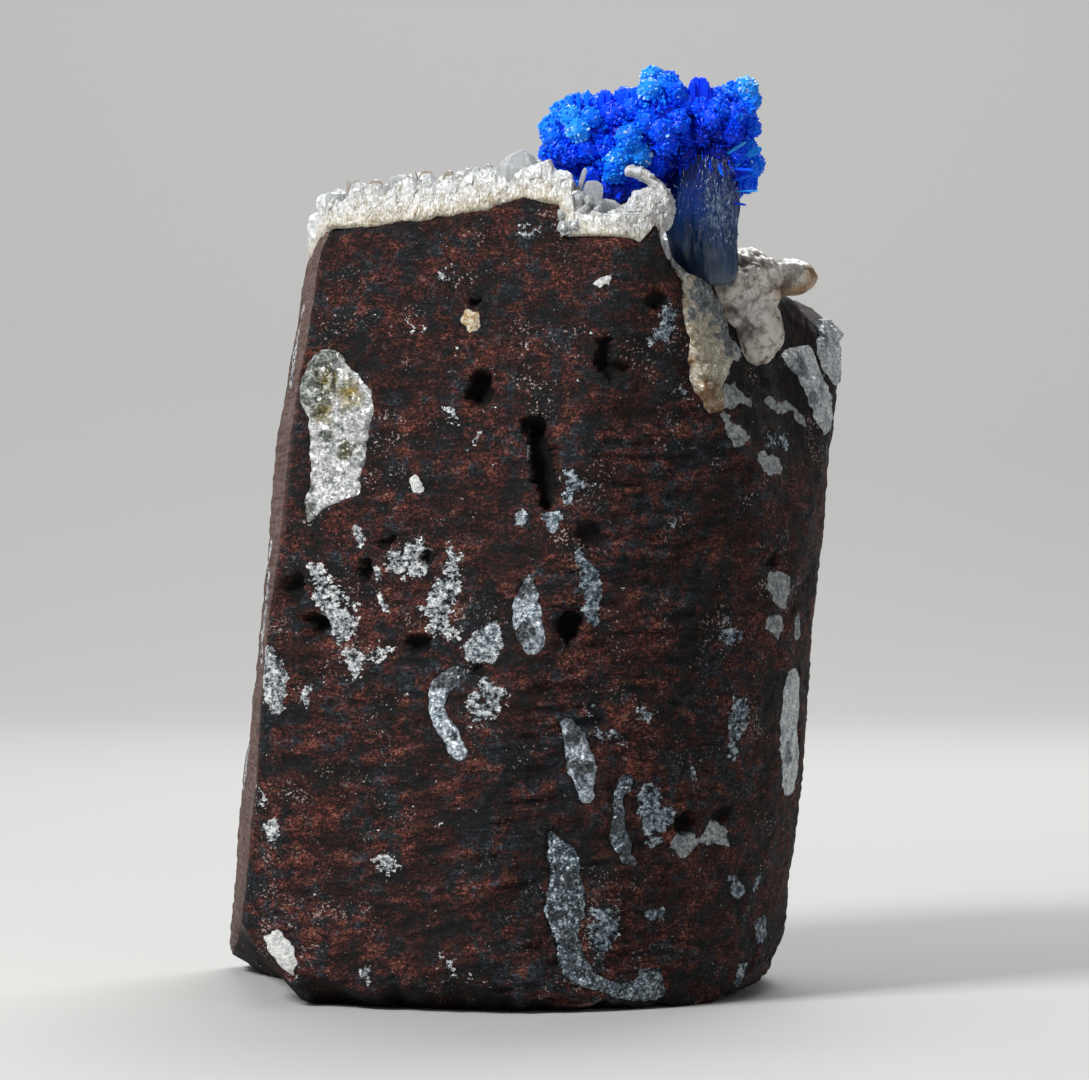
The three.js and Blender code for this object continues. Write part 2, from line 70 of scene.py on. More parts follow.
# Rows of each filling along its length: angle and height of its left edge, then of its right one.
AMYGDULES = {
    "amygdule_left": [
        (-131.5, 64.3, -130.1, 64.3), (-133.2, 63.6, -128.1, 63.6), (-134.5, 62.6, -126.7, 62.6),
        (-135.2, 61.5, -124.4, 61.8), (-135.7, 60.4, -121.8, 60.3), (-135.5, 59.2, -121.1, 59.0),
        (-134.3, 58.2, -121.0, 57.7), (-133.4, 57.2, -121.0, 56.8), (-132.7, 55.8, -121.3, 55.5),
        (-132.5, 54.0, -121.7, 54.0), (-131.8, 52.2, -121.8, 52.2), (-132.1, 50.7, -121.5, 50.6),
        (-132.3, 49.7, -121.9, 49.4), (-132.5, 48.5, -126.6, 49.0), (-132.0, 47.6, -128.4, 48.4),
        (-131.4, 46.9, -130.0, 47.4),
    ],
    "amygdule_heart": [
        (-96.7, 33.6, -95.2, 32.0), (-99.0, 33.4, -96.6, 31.5), (-101.2, 32.7, -98.4, 30.9),
        (-103.0, 31.7, -98.9, 30.1), (-103.1, 30.4, -98.9, 29.3), (-102.4, 28.9, -98.1, 28.6),
        (-101.0, 27.4, -96.8, 27.7), (-99.3, 26.1, -95.2, 26.6), (-97.2, 24.9, -94.1, 25.5),
        (-95.4, 24.0, -93.7, 24.6),
    ],
    "amygdule_crease": [
        (-86.8, 42.3, -85.7, 42.5), (-87.3, 41.5, -85.1, 41.7), (-88.1, 40.5, -84.0, 40.5),
        (-88.4, 39.3, -83.3, 39.3), (-88.1, 37.8, -82.6, 37.9), (-87.7, 36.4, -81.7, 36.4),
        (-86.6, 35.2, -81.9, 35.2), (-85.1, 34.3, -83.2, 34.3),
    ],
    "amygdule_middle": [
        (-78.3, 28.5, -76.9, 28.7), (-78.0, 27.8, -74.9, 28.0), (-77.7, 27.0, -73.7, 27.1),
        (-76.7, 25.6, -72.2, 25.9), (-76.5, 24.4, -70.9, 24.8), (-75.7, 23.2, -70.3, 23.6),
        (-74.6, 22.1, -70.1, 22.2), (-73.7, 20.9, -70.1, 21.0), (-72.8, 20.0, -70.9, 19.9),
    ],
    "amygdule_small": [
        (-65.9, 23.2, -63.6, 23.3), (-66.4, 22.7, -62.7, 22.5), (-66.8, 21.8, -63.1, 21.5),
        (-67.4, 20.9, -64.3, 20.8), (-67.4, 20.1, -64.9, 20.1), (-67.0, 18.9, -64.3, 18.8),
        (-67.2, 17.8, -63.5, 17.7), (-67.0, 16.6, -62.5, 16.6), (-65.9, 15.3, -62.1, 15.3),
        (-64.5, 14.2, -60.2, 14.4), (-61.6, 13.7, -59.6, 13.9),
    ],
    "amygdule_foot": [
        (-78.8, 17.7, -77.6, 17.9), (-78.7, 16.9, -75.8, 16.9), (-78.6, 15.8, -72.7, 15.7),
        (-78.1, 14.6, -72.1, 14.5), (-77.7, 13.4, -71.5, 13.3), (-77.8, 12.1, -70.5, 12.0),
        (-77.9, 11.0, -70.0, 10.9), (-77.8, 9.7, -70.1, 9.6), (-76.8, 8.5, -71.0, 8.7),
        (-75.3, 7.1, -71.1, 7.3), (-74.8, 5.7, -69.7, 5.8), (-73.8, 4.2, -68.2, 4.7),
        (-71.4, 2.8, -66.7, 3.7), (-67.6, 2.2, -64.3, 3.2), (-63.4, 1.3, -61.9, 2.8),
        (-59.5, 0.9, -59.4, 2.9), (-56.0, 0.8, -57.5, 3.9), (-53.4, 0.8, -54.9, 4.2),
        (-51.2, 1.6, -53.1, 4.1),
    ],
    "amygdule_right": [
        (-22.7, 32.8, -19.9, 33.0), (-25.8, 32.3, -18.1, 32.2), (-26.4, 31.2, -16.2, 31.0),
        (-25.8, 28.7, -14.3, 28.5), (-25.0, 25.7, -12.9, 25.4), (-23.6, 24.0, -11.6, 23.7),
        (-22.6, 22.7, -11.6, 22.4), (-20.5, 20.5, -12.3, 20.6), (-18.7, 19.7, -14.3, 19.6),
    ],
}

# Thin solid patches of zeolite in the skin, as outlines of angle and height.
PATCHES = [
    [(-122.1, 47.0), (-120.9, 46.8), (-119.1, 44.8), (-119.9, 45.0), (-121.9, 46.0)],
    [(-115.7, 40.6), (-114.5, 40.3), (-113.1, 39.1), (-113.0, 38.4), (-113.9, 38.7)],
    [(-117.2, 43.4), (-115.9, 43.0), (-115.0, 41.9), (-116.0, 41.6), (-117.3, 42.6)],
    [(-96.8, 35.2), (-95.1, 36.4), (-93.1, 37.4), (-90.6, 37.4), (-90.0, 36.0), (-90.5, 34.1),
     (-92.1, 33.8), (-94.3, 34.0), (-96.1, 34.4)],
    [(-78.4, 44.9), (-76.9, 44.4), (-75.3, 43.3), (-73.8, 42.4), (-73.1, 39.7), (-73.3, 37.6),
     (-74.7, 37.2), (-75.8, 38.8), (-76.4, 40.7), (-77.3, 42.8)],
    [(-84.1, 48.3), (-81.9, 48.1), (-81.3, 46.6), (-82.8, 46.2), (-83.8, 46.6)],
    [(-88.5, 54.4), (-87.5, 54.7), (-87.0, 53.2), (-88.1, 53.0)],
    [(-89.7, 47.6), (-88.5, 48.3), (-87.4, 48.2), (-87.4, 47.3), (-88.8, 47.0)],
    [(-58.4, 9.5), (-56.3, 9.8), (-54.4, 9.7), (-54.6, 8.8), (-57.3, 8.4)],
    [(-38.7, 12.6), (-36.3, 12.7), (-33.4, 10.9), (-34.2, 10.2), (-36.7, 10.7)],
    [(-30.6, 12.2), (-28.6, 12.1), (-28.4, 10.6), (-30.1, 10.7)],
    [(-28.8, 7.6), (-24.7, 8.1), (-22.6, 6.0), (-27.0, 5.2)],
    [(-32.6, 1.5), (-31.9, 3.4), (-29.6, 3.6), (-30.4, 1.4)],
    [(-51.4, 23.5), (-50.6, 23.4), (-50.4, 22.0), (-51.1, 22.2)],
    [(-133.3, 17.7), (-131.5, 18.4), (-130.3, 18.0), (-130.0, 16.6), (-131.9, 16.3), (-133.2, 17.0)],
    [(-111.0, 4.0), (-109.0, 3.8), (-109.2, 2.5), (-110.5, 3.0)],
    [(-140.3, 34.9), (-134.5, 34.8), (-132.1, 32.6), (-131.2, 29.9), (-133.2, 28.3), (-136.0, 30.8)],
    [(-128.2, 31.3), (-126.8, 31.1), (-126.6, 29.3), (-127.6, 29.5)],
    [(38, 30), (42, 33), (45, 27), (41, 22), (37, 25)], [(70, 50), (76, 52), (75, 44), (71, 45)],
    [(104, 30), (110, 33), (112, 24), (106, 22)], [(132, 60), (139, 63), (138, 53), (134, 54)],
    [(150, 24), (154, 27), (156, 19), (151, 18)], [(92, 14), (97, 16), (99, 10), (94, 9)],
]

# Smooth, dull smears of the same, greyer and without grain.
DULL_PATCHES = [
    [(-52.3, 66.7), (-50.0, 65.9), (-47.3, 66.0), (-45.4, 65.2), (-44.0, 64.7), (-42.0, 64.1),
     (-42.3, 63.5), (-43.8, 63.4), (-43.7, 62.9), (-46.5, 62.8), (-48.0, 62.5), (-48.0, 61.9),
     (-50.1, 61.8), (-51.4, 61.1), (-53.3, 61.3), (-53.8, 62.5), (-52.6, 64.5)],
    [(-50.5, 60.7), (-47.9, 60.9), (-45.7, 61.1), (-45.5, 60.3), (-43.0, 59.8), (-41.4, 59.2),
     (-42.5, 58.6), (-44.6, 58.8), (-46.7, 58.8), (-48.3, 58.5), (-51.5, 58.6), (-52.0, 59.4)],
    [(-52.0, 58.0), (-50.1, 57.8), (-50.4, 57.2), (-48.6, 56.7), (-47.5, 56.9), (-45.7, 56.3),
     (-43.6, 55.9), (-44.1, 55.4), (-46.7, 55.3), (-48.9, 54.5), (-50.4, 55.4), (-51.6, 56.4)],
    [(-35.6, 59.5), (-33.0, 59.6), (-30.4, 59.1), (-27.5, 59.0), (-25.5, 59.3), (-23.2, 58.9),
     (-19.5, 58.1), (-17.8, 57.2), (-19.7, 57.0), (-23.4, 58.2), (-26.2, 58.3), (-28.8, 58.0),
     (-34.7, 58.7)],
    [(-42.2, 53.8), (-39.3, 54.2), (-32.5, 53.7), (-32.0, 52.1), (-37.6, 51.9), (-41.8, 52.9)],
    [(-54.4, 15.9), (-54.0, 17.0), (-51.3, 17.2), (-48.6, 16.5), (-47.4, 16.6), (-46.6, 17.6),
     (-44.1, 17.9), (-41.0, 17.2), (-39.0, 15.5), (-43.6, 15.8), (-47.9, 15.8), (-49.0, 15.1),
     (-52.1, 14.8)],
    [(-35.9, 40.9), (-35.2, 42.1), (-32.4, 42.4), (-28.3, 41.7), (-27.7, 40.2), (-28.6, 39.1),
     (-31.1, 38.8), (-34.1, 39.8)],
    [(-36.0, 37.0), (-34.4, 38.1), (-30.1, 37.8), (-29.1, 36.9), (-30.6, 35.6), (-33.8, 36.3)],
    [(-24.3, 37.9), (-22.1, 37.8), (-21.3, 35.5), (-23.6, 35.5)],
]

# Small smooth fillings that stand a little proud, white and cream.
WHITE_PEBBLES = [
    [(-79.8, 70.2), (-78.9, 70.7), (-76.3, 70.9), (-76.5, 70.1), (-78.4, 69.6)],
    [(-111.7, 51.3), (-110.3, 51.8), (-108.5, 51.3), (-108.7, 50.3), (-110.6, 50.2)],
    [(-131.2, 6.4), (-130.6, 7.2), (-129.2, 7.5), (-126.8, 6.6), (-124.5, 5.4), (-124.2, 4.1),
     (-124.3, 2.8), (-126.9, 3.9), (-129.0, 4.8)],
]
CREAM_PEBBLES = [
    [(-104.2, 67.4), (-102.6, 67.8), (-100.1, 67.4), (-99.8, 66.1), (-101.4, 65.7), (-103.8, 66.4)],
]

# Patches where the zeolite is broken up into a lace of small grains.
LACES = [
    [(-130.9, 43.7), (-127.5, 43.6), (-124.3, 41.4), (-121.3, 40.6), (-118.8, 38.5), (-119.1, 36.2),
     (-122.1, 35.0), (-125.3, 36.9), (-128.6, 39.6)],
    [(-122.0, 34.8), (-119.0, 35.8), (-116.2, 34.8), (-111.9, 35.8), (-110.8, 34.9), (-113.0, 33.7),
     (-116.7, 33.5), (-117.2, 31.7), (-120.2, 32.3)],
    [(-116.1, 44.3), (-112.9, 44.9), (-110.2, 46.1), (-107.1, 45.5), (-105.0, 43.8), (-105.1, 42.4),
     (-107.4, 41.4), (-111.3, 42.0), (-114.9, 43.0)],
    [(-102.2, 45.5), (-99.9, 44.7), (-98.5, 42.1), (-98.5, 39.9), (-99.6, 37.8), (-97.4, 36.8),
     (-98.6, 35.9), (-104.1, 36.4), (-104.9, 37.8), (-108.2, 38.0), (-105.7, 39.7), (-105.3, 41.2),
     (-103.0, 42.0)],
    [(-92.6, 33.1), (-90.0, 31.9), (-86.9, 30.2), (-88.8, 29.0), (-90.7, 28.1), (-93.9, 27.5),
     (-95.5, 29.0), (-94.4, 30.1)],
    [(-62.5, 21.5), (-60.6, 22.1), (-57.8, 21.3), (-56.9, 19.9), (-54.1, 19.5), (-54.1, 18.0),
     (-56.3, 16.9), (-57.0, 15.7), (-59.4, 15.9), (-61.0, 17.5), (-62.0, 19.0)],
    [(-73.7, 29.8), (-72.4, 29.8), (-71.7, 28.0), (-68.6, 27.4), (-65.1, 27.0), (-64.9, 26.0),
     (-69.5, 26.3), (-72.7, 27.3)],
    [(-64.8, 29.7), (-62.5, 29.9), (-60.7, 28.7), (-61.7, 27.7), (-63.8, 28.1)],
    [(-43.3, 30.8), (-38.0, 29.8), (-37.9, 27.9), (-40.1, 25.6), (-40.9, 23.9), (-44.0, 24.0),
     (-43.8, 26.2), (-44.6, 27.7), (-42.9, 29.2)],
    [(-47.5, 35.8), (-47.3, 38.4), (-45.0, 37.5), (-39.5, 36.0), (-44.4, 35.1)],
    [(-70.2, 10.4), (-67.7, 10.6), (-64.2, 10.3), (-62.9, 7.9), (-64.4, 5.8), (-67.4, 5.3), (-69.5, 6.6)],
    [(-60.4, 5.4), (-58.8, 5.8), (-57.1, 3.7), (-58.1, 2.4)],
    [(-70.5, 65.1), (-68.0, 65.7), (-67.4, 68.2), (-64.2, 68.4), (-63.6, 66.9), (-64.7, 64.6),
     (-68.5, 64.2)],
    [(-63.5, 60.5), (-59.9, 60.2), (-58.8, 59.3), (-62.5, 59.2)],
    [(-137.3, 21.5), (-132.9, 21.1), (-132.9, 19.5), (-135.2, 19.7)],
    [(-95.5, 5.7), (-92.1, 5.4), (-92.1, 3.5), (-94.5, 3.3)],
    [(-90.3, 3.9), (-86.0, 3.2), (-85.9, 2.4), (-89.8, 3.0)],
    [(-115.4, 66.7), (-112.0, 66.3), (-112.2, 65.3), (-115.5, 65.5)],
    [(-110.7, 72.1), (-107.3, 71.8), (-107.9, 70.8), (-110.0, 71.0)],
    [(-94.1, 76.2), (-90.1, 75.6), (-90.7, 74.4), (-93.9, 74.8)],
    [(-100.0, 55.9), (-97.5, 55.7), (-97.7, 54.6), (-100.0, 54.9)],
    [(-105.6, 58.3), (-102.1, 57.9), (-102.2, 56.5), (-105.0, 56.7)],
    [(-82.2, 52.2), (-80.4, 52.6), (-76.6, 50.9), (-76.0, 49.4), (-79.0, 50.3), (-80.0, 48.2),
     (-81.3, 48.8)],
    [(-37.6, 56.4), (-27.3, 56.3), (-28.5, 54.4), (-38.2, 54.6)],
    [(-62.8, 46.8), (-58.6, 48.2), (-57.7, 47.8), (-61.4, 46.2)],
    [(-110.7, 14.8), (-106.7, 15.4), (-104.3, 13.9), (-107.8, 12.9)],
    [(-68.6, 5.3), (-66.6, 5.1), (-66.8, 4.1), (-68.7, 4.5)],
    [(18, 62), (30, 64), (33, 57), (22, 56)], [(55, 36), (63, 40), (66, 30), (58, 28)],
    [(88, 66), (98, 69), (100, 62), (90, 60)], [(118, 46), (126, 50), (128, 40), (120, 38)],
    [(8, 22), (14, 26), (16, 17), (10, 15)], [(186, 40), (196, 46), (199, 33), (189, 30)],
    [(176, 66), (186, 69), (188, 62), (178, 60)], [(142, 36), (149, 39), (150, 31), (144, 30)],
]

# Open gas bubbles: angle, height, half width, half height, lean and depth.
BUBBLES = [
    (-98.8, 59.9, 1.5, 1.9, 12, 2.2), (-84.9, 52.6, 1.25, 4.4, 16, 2.6), (-87.6, 56.6, 1.3, 1.0, 0, 1.4),
    (-77.0, 63.3, 0.9, 1.6, 0, 1.6), (-74.4, 61.8, 1.3, 0.9, 20, 1.0), (-78.0, 37.3, 1.35, 1.6, 0, 2.4),
    (-127.3, 37.2, 1.35, 1.3, 0, 2.2), (-132.4, 40.8, 1.2, 1.5, 0, 1.5), (-118.8, 42.6, 0.8, 1.0, 0, 1.4),
    (-115.4, 45.2, 1.0, 0.7, 0, 0.9), (-105.9, 35.5, 1.5, 0.9, 0, 1.2), (-106.1, 43.8, 0.8, 0.9, 0, 0.9),
    (-101.7, 68.5, 0.9, 0.7, 0, 1.0), (-68.4, 68.7, 1.2, 1.0, 0, 0.8), (-51.6, 18.0, 1.3, 1.2, 0, 1.6),
    (-42.2, 18.6, 1.2, 0.8, 10, 0.9), (-93.6, 33.0, 0.9, 0.8, 0, 0.8), (-34.5, 43.6, 1.1, 0.8, 0, 0.7),
    (-75.6, 45.8, 1.7, 0.9, -20, 0.8), (24, 52, 1.6, 2.4, 0, 2.0), (48, 22, 1.3, 1.2, 0, 1.6),
    (83, 61, 1.8, 1.3, 0, 2.0), (168, 48, 1.4, 1.4, 0, 1.8), (120, 20, 1.2, 1.6, 0, 1.4),
    (150, 42, 1.0, 1.5, 10, 1.2), (62, 44, 1.2, 0.9, 0, 1.2), (200, 20, 1.1, 1.3, 0, 1.2),
]


def core_reach(angle, height):
    """Radius of the column. Smallest of the drilled radius and distance / cos(angle - facing) for each
    flat face, with the corners rounded by a soft minimum, plus two slow waves."""
    angle, height = np.broadcast_arrays(np.asarray(angle, float), np.asarray(height, float))
    climb = np.clip((height - 21) / 41, 0, 1)
    faces = [
        (-175, 24.5 - 1.5 * np.clip((height - 56) / 20, 0, 1)),
        (-113.2 + 6.8 * climb, 29.3 - 1.6 * climb),
        (-30.3, 25.7 + 0.28 * (71 - height)),
    ]
    reaches = [np.full(angle.shape, CORE_RADIUS)]
    for facing, distance in faces:
        slant = np.cos(np.radians(angle - facing))
        reaches.append(np.where(slant > 0.05, distance / np.maximum(slant, 0.05), 1e3))
    least = np.min(reaches, axis=0)
    rounded = least - EDGE_ROUNDING * np.log(np.sum(np.exp((least - reaches) / EDGE_ROUNDING), axis=0))
    turn = np.radians(angle)
    return rounded + 0.12 * np.sin(3 * turn + 0.09 * height) + 0.1 * np.sin(7 * turn - 0.21 * height)


def around_axis(angle, height, distance):
    """Point at a distance from the axis, which runs sideways by LEAN for each millimetre of height."""
    turn = np.radians(angle)
    across = AXIS_X + LEAN * height + distance * np.cos(turn)
    return np.stack(np.broadcast_arrays(across, AXIS_Y + distance * np.sin(turn), height), axis=-1)


def edge_height(edge, angle):
    """Height of a closed edge, straight between its listed points."""
    angles, heights = zip(*edge)
    return np.interp(angle, angles, heights, period=360)


def top_height(angle, share):
    """Broken top: edge + (summit - edge) (1 - share)^1.5, with low bumps between axis and edge."""
    edge = edge_height(TOP_EDGE, angle)
    bumps = 2 * np.sin(5 * share + np.radians(3 * angle)) * share * (1 - share)
    return edge + (SUMMIT_HEIGHT - edge) * (1 - share) ** 1.5 + bumps


def scatter(cell, seed):
    """Random number from -1 to 1 for each cell of whole numbers, from mixing their bits."""
    x, y, z = np.moveaxis(cell, -1, 0)
    number = (x * 73856093) ^ (y * 19349663) ^ (z * 83492791) ^ (seed * 2654435761)
    for _ in range(2):
        number = ((number ^ (number >> 16)) * 73244475) & 0xFFFFFFFF
    return (number ^ (number >> 16)) / 2**31 - 1


def noise(points, size, seed):
    """Value noise from -1 to 1: a random number at each corner of cells `size` wide, blended
    between the eight corners by 3 t^2 - 2 t^3."""
    place = points / np.asarray(size, float)
    cell = np.floor(place).astype(np.int64)
    share = place - cell
    share = share * share * (3 - 2 * share)
    total = np.zeros(points.shape[:-1])
    for corner in np.ndindex(2, 2, 2):
        weight = np.prod(np.where(corner, share, 1 - share), axis=-1)
        total += weight * scatter(cell + corner, seed)
    return total


def inside_by(angle, height, outline):
    """How deep a point of the skin lies inside an outline, in mm, and less than zero outside: the
    distance to the nearest side, with the sign from counting the sides to the right."""
    x, y = angle * DEGREE, height
    corners = np.array(outline) * [DEGREE, 1]
    nearest = np.full(x.shape, 1e3)
    inside = np.zeros(x.shape, bool)
    for (ax, ay), (bx, by) in zip(corners, np.roll(corners, -1, axis=0)):
        run, rise = bx - ax, by - ay
        share = np.clip(((x - ax) * run + (y - ay) * rise) / (run * run + rise * rise), 0, 1)
        nearest = np.minimum(nearest, np.hypot(x - ax - share * run, y - ay - share * rise))
        crossed = (ay > y) != (by > y)
        inside ^= crossed & (x < ax + run * (y - ay) / (rise if rise else 1))
    return np.where(inside, nearest, -nearest)


def edge_of(rows):
    """Outline of a filling from its rows: down its left edge and back up its right one."""
    return [row[:2] for row in rows] + [row[2:] for row in rows[::-1]]


def core_skin(angle, height):
    """Relief of the skin in mm, and the fields that its material reads. Ridges of the drill bit, as
    noise stretched along the skin, plus rounder noise, minus steep-walled bubbles and shallow beds
    for the fillings. Each kind of patch gives how deep in mm a point lies in it."""
    flat = np.stack([angle * DEGREE, 0 * angle, height], axis=-1)
    ragged = [0.32 * noise(flat, 0.9, seed) + 0.2 * noise(flat, 0.4, seed + 1) for seed in (11, 13)]
    ragged_angle, ragged_height = angle + ragged[0] / DEGREE, height + ragged[1]
    # To the right the ridges fall in the upper half of the front and climb in the lower half.
    slope = np.interp(height, [10, 20, 38, 50, 60], [-0.24, -0.22, 0.0, 0.15, 0.12])
    near = np.clip(1 - np.abs(angle + 95) / 60, 0, 1)
    ridge_line = flat + np.stack([0 * angle, 0 * angle, slope * (angle + 95) * DEGREE * near], axis=-1)
    ridges = 0.17 * noise(ridge_line, (4.5, 1, 0.62), 1) + 0.12 * noise(ridge_line, (1.8, 1, 0.4), 2)
    ridges *= np.interp(height, [54, 66], [1, 0.3])
    ridges *= np.interp(angle, [-136, -130, -60, -35], [0.15, 1, 1, 0.35])
    ridges = ridges + 0.1 * noise(flat, 0.8, 3) + 0.08 * noise(flat, 0.45, 5)
    relief = ridges + 0.2 * noise(flat, 3.6, 4)
    hollow = np.zeros(angle.shape)
    for middle_angle, middle_height, half_width, half_height, lean, deep in BUBBLES:
        along, rise = (ragged_angle - middle_angle) * DEGREE, ragged_height - middle_height
        tilt = math.radians(lean)
        offset = np.hypot((along * math.cos(tilt) + rise * math.sin(tilt)) / half_width,
                          (rise * math.cos(tilt) - along * math.sin(tilt)) / half_height)
        wall = np.clip((1.1 - offset) / 0.26, 0, 1)
        wall = wall * wall * (3 - 2 * wall)
        hollow = np.maximum(hollow, wall)
        relief -= deep * wall * (0.8 + 0.2 * np.clip(1 - offset, 0, 1))
    # Patches away from the front are given by few corners, and bent into rags here.
    back = np.clip((angle - 20) / 15, 0, 1)
    ragged_angle = ragged_angle + back * (2.0 * noise(flat, 3.2, 15) + 1.0 * noise(flat, 1.5, 16)) / DEGREE
    ragged_height = ragged_height + back * (2.4 * noise(flat, 3.2, 17) + 1.2 * noise(flat, 1.5, 18))
    fields = {}
    for name, outlines in (("patch", PATCHES), ("dull", DULL_PATCHES), ("white", WHITE_PEBBLES),
                           ("cream", CREAM_PEBBLES), ("lace", LACES)):
        deepest = np.max([inside_by(ragged_angle, ragged_height, outline) for outline in outlines], axis=0)
        fields[name] = np.clip(deepest, -OUTSIDE, OUTSIDE)
    bed = np.max([inside_by(angle, height, edge_of(rows)) for rows in AMYGDULES.values()], axis=0)
    relief -= 0.5 * np.clip((bed - 0.05) / 0.35, 0, 1)
    pebble = np.clip(np.maximum(fields["white"], fields["cream"]) / 0.5, 0, 1)
    covered = np.maximum(np.clip(np.maximum(fields["patch"], fields["dull"]) / 0.2, 0, 1), pebble)
    relief = relief - 0.75 * covered * ridges + 0.05 * covered + 0.35 * np.sqrt(pebble)
    # Share of each point inside an open bubble, where the material darkens the colour as painted shade.
    fields["hollow"] = hollow
    # Ridge height from 0 to 1, which the material uses to darken the low valleys as painted shade.
    fields["ridge"] = np.clip(0.5 + 1.6 * ridges, 0, 1)
    return relief, fields


def ring_faces(rings, columns):
    """Faces of a closed skin of rings between two poles: point 0 is the low pole, the last one the
    high pole, and each ring runs from +X towards +Y."""
    ring, column = np.meshgrid(np.arange(rings - 1), np.arange(columns), indexing="ij")
    here, beside = 1 + ring * columns + column, 1 + ring * columns + (column + 1) % columns
    sides = np.stack([here, beside, beside + columns, here + columns], -1)
    low, low_beside, top_ring = here[0], beside[0], (rings - 1) * columns
    foot_cap = np.stack([0 * low, low_beside, low], -1)
    head_cap = np.stack([low + top_ring, low_beside + top_ring, 0 * low + 1 + rings * columns], -1)
    return sides.reshape(-1, 4).tolist() + foot_cap.tolist() + head_cap.tolist()


def turned_out(points, faces):
    """Faces turned so that the volume inside them comes out above zero: the sum, over the fan of
    triangles in each face, of first corner . (second corner x third corner) / 6."""
    fans = np.array([[face[0], face[turn], face[turn + 1]]
                     for face in faces for turn in range(1, len(face) - 1)])
    first, second, third = (points[corner] for corner in fans.T)
    if np.sum(first * np.cross(second, third)) > 0:
        return faces
    return [face[::-1] for face in faces]


def add_piece(name, points, faces, material, node_names=(), slot=None, smooth=True, **fields):
    """Mesh piece from points in mm, with its faces turned outwards. Each field is a number at every
    point, which the material reads by its name."""
    mesh = bpy.data.meshes.new(name)
    mesh.from_pydata((points * MM).tolist(), [], turned_out(points, faces))
    mesh.shade_smooth() if smooth else mesh.shade_flat()
    for field, values in fields.items():
        attribute = mesh.attributes.new(field, "FLOAT", "POINT")
        attribute.data.foreach_set("value", values.astype(np.float32).ravel())
    mesh.materials.append(material)
    piece = bpy.data.objects.new(name, mesh)
    bpy.context.scene.collection.objects.link(piece)
    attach(piece, "root")
    if node_names:
        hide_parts(*node_names)
    return piece


def linear(colour):
    """Linear RGBA of an sRGB hex colour: ((c + 0.055) / 1.055)^2.4, or c / 12.92 where it is dark."""
    parts = [int(colour[start:start + 2], 16) / 255 for start in (1, 3, 5)]
    return *(c / 12.92 if c <= 0.04045 else ((c + 0.055) / 1.055) ** 2.4 for c in parts), 1.0


def node(material, kind, settings={}, inputs={}):
    """Adds a shader node. `settings` are its own properties, or the `stops` of a ramp, each a value
    from 0 to 1 and a hex colour. `inputs`, by name or number, are values, hex colours, linked outputs
    or names of fields that the mesh carries at every point."""
    made = material.node_tree.nodes.new("ShaderNode" + kind)
    for name, value in settings.items():
        if name != "stops":
            setattr(made, name, value)
            continue
        (first, first_colour), *middle, (last, last_colour) = value
        stops = made.color_ramp.elements
        stops[0].position, stops[0].color = first, linear(first_colour)
        stops[1].position, stops[1].color = last, linear(last_colour)
        for position, colour in middle:
            stops.new(position).color = linear(colour)
    for name, value in inputs.items():
        if isinstance(value, str):
            value = (linear(value) if value.startswith("#")
                     else node(material, "Attribute", {"attribute_name": value}).outputs["Fac"])
        if isinstance(value, bpy.types.NodeSocket):
            material.node_tree.links.new(value, made.inputs[name])
        else:
            made.inputs[name].default_value = value
    return made


def new_material(name):
    """Empty node material, and the place of a point on the object, which its patterns follow."""
    material = bpy.data.materials.new(name)
    material.use_nodes = True
    material.node_tree.nodes.clear()
    return material, node(material, "TexCoord").outputs["Object"]


def finish(material, look, **others):
    """Gives the material its surface from the look's values and outputs, and ends its nodes."""
    shader = node(material, "BsdfPrincipled", {}, look)
    node(material, "OutputMaterial", {}, {"Surface": shader.outputs[0], **others})


def stretched_noise(material, place, along, up, detail=3.0, roughness=0.6):
    """Noise with cells `along` mm wide in the level directions and `up` mm high, from 0 to 1."""
    scale = (1 / (along * MM), 1 / (along * MM), 1 / (up * MM))
    cells = node(material, "Mapping", {}, {"Vector": place, "Scale": scale})
    return node(material, "TexNoise", {}, {
        "Vector": cells.outputs[0], "Scale": 1.0, "Detail": detail, "Roughness": roughness}).outputs[0]


def sum_of(material, *terms):
    """Weighted sum, from pairs of an output or field and its weight."""
    total = 0.0
    for output, weight in terms:
        added = node(material, "Math", {"operation": "MULTIPLY_ADD"}, {0: output, 1: weight, 2: total})
        total = added.outputs[0]
    return total


def graded(material, stops, *terms):
    """Colour by a weighted sum of patterns: between the stops, each a value of the sum and a colour."""
    return node(material, "ValToRGB", {"stops": stops}, {0: sum_of(material, *terms)}).outputs[0]


def rising(low, high):
    """Stops of a share: 0 up to the low value and 1 from the high one on."""
    return [(low, "#000000"), (high, "#ffffff")]


def coats(material, colour, *layers):
    """Colour under layers, each a share from 0 to 1 and a colour that hides what is under it, or
    darkens it where "MULTIPLY" follows."""
    for share, over, *kind in layers:
        settings = {"data_type": "RGBA", "blend_type": kind[0] if kind else "MIX"}
        colour = node(material, "Mix", settings, {0: share, 6: colour, 7: over}).outputs[2]
    return colour


# Oxidised basalt, drilled and sawn dry: dull brick-red grains, slate patches where it isn't
# oxidised, both drawn out along the drill's ridges, pin-prick feldspar and thin zeolite.
basalt, place = new_material("drilled oxidised basalt")
blotches = stretched_noise(basalt, place, 1.9, 1.5, 3.0, 0.65)
regions = stretched_noise(basalt, place, 9, 8, 1.0)
streaks = stretched_noise(basalt, place, 1.4, 0.4, 3.0, 0.8)
grain = stretched_noise(basalt, place, 0.33, 0.28, 3.0, 0.9)
slate_share = graded(basalt, rising(0.545, 0.605),
                     (blotches, 0.5), (regions, 0.2), (streaks, 0.1), (grain, 0.3))
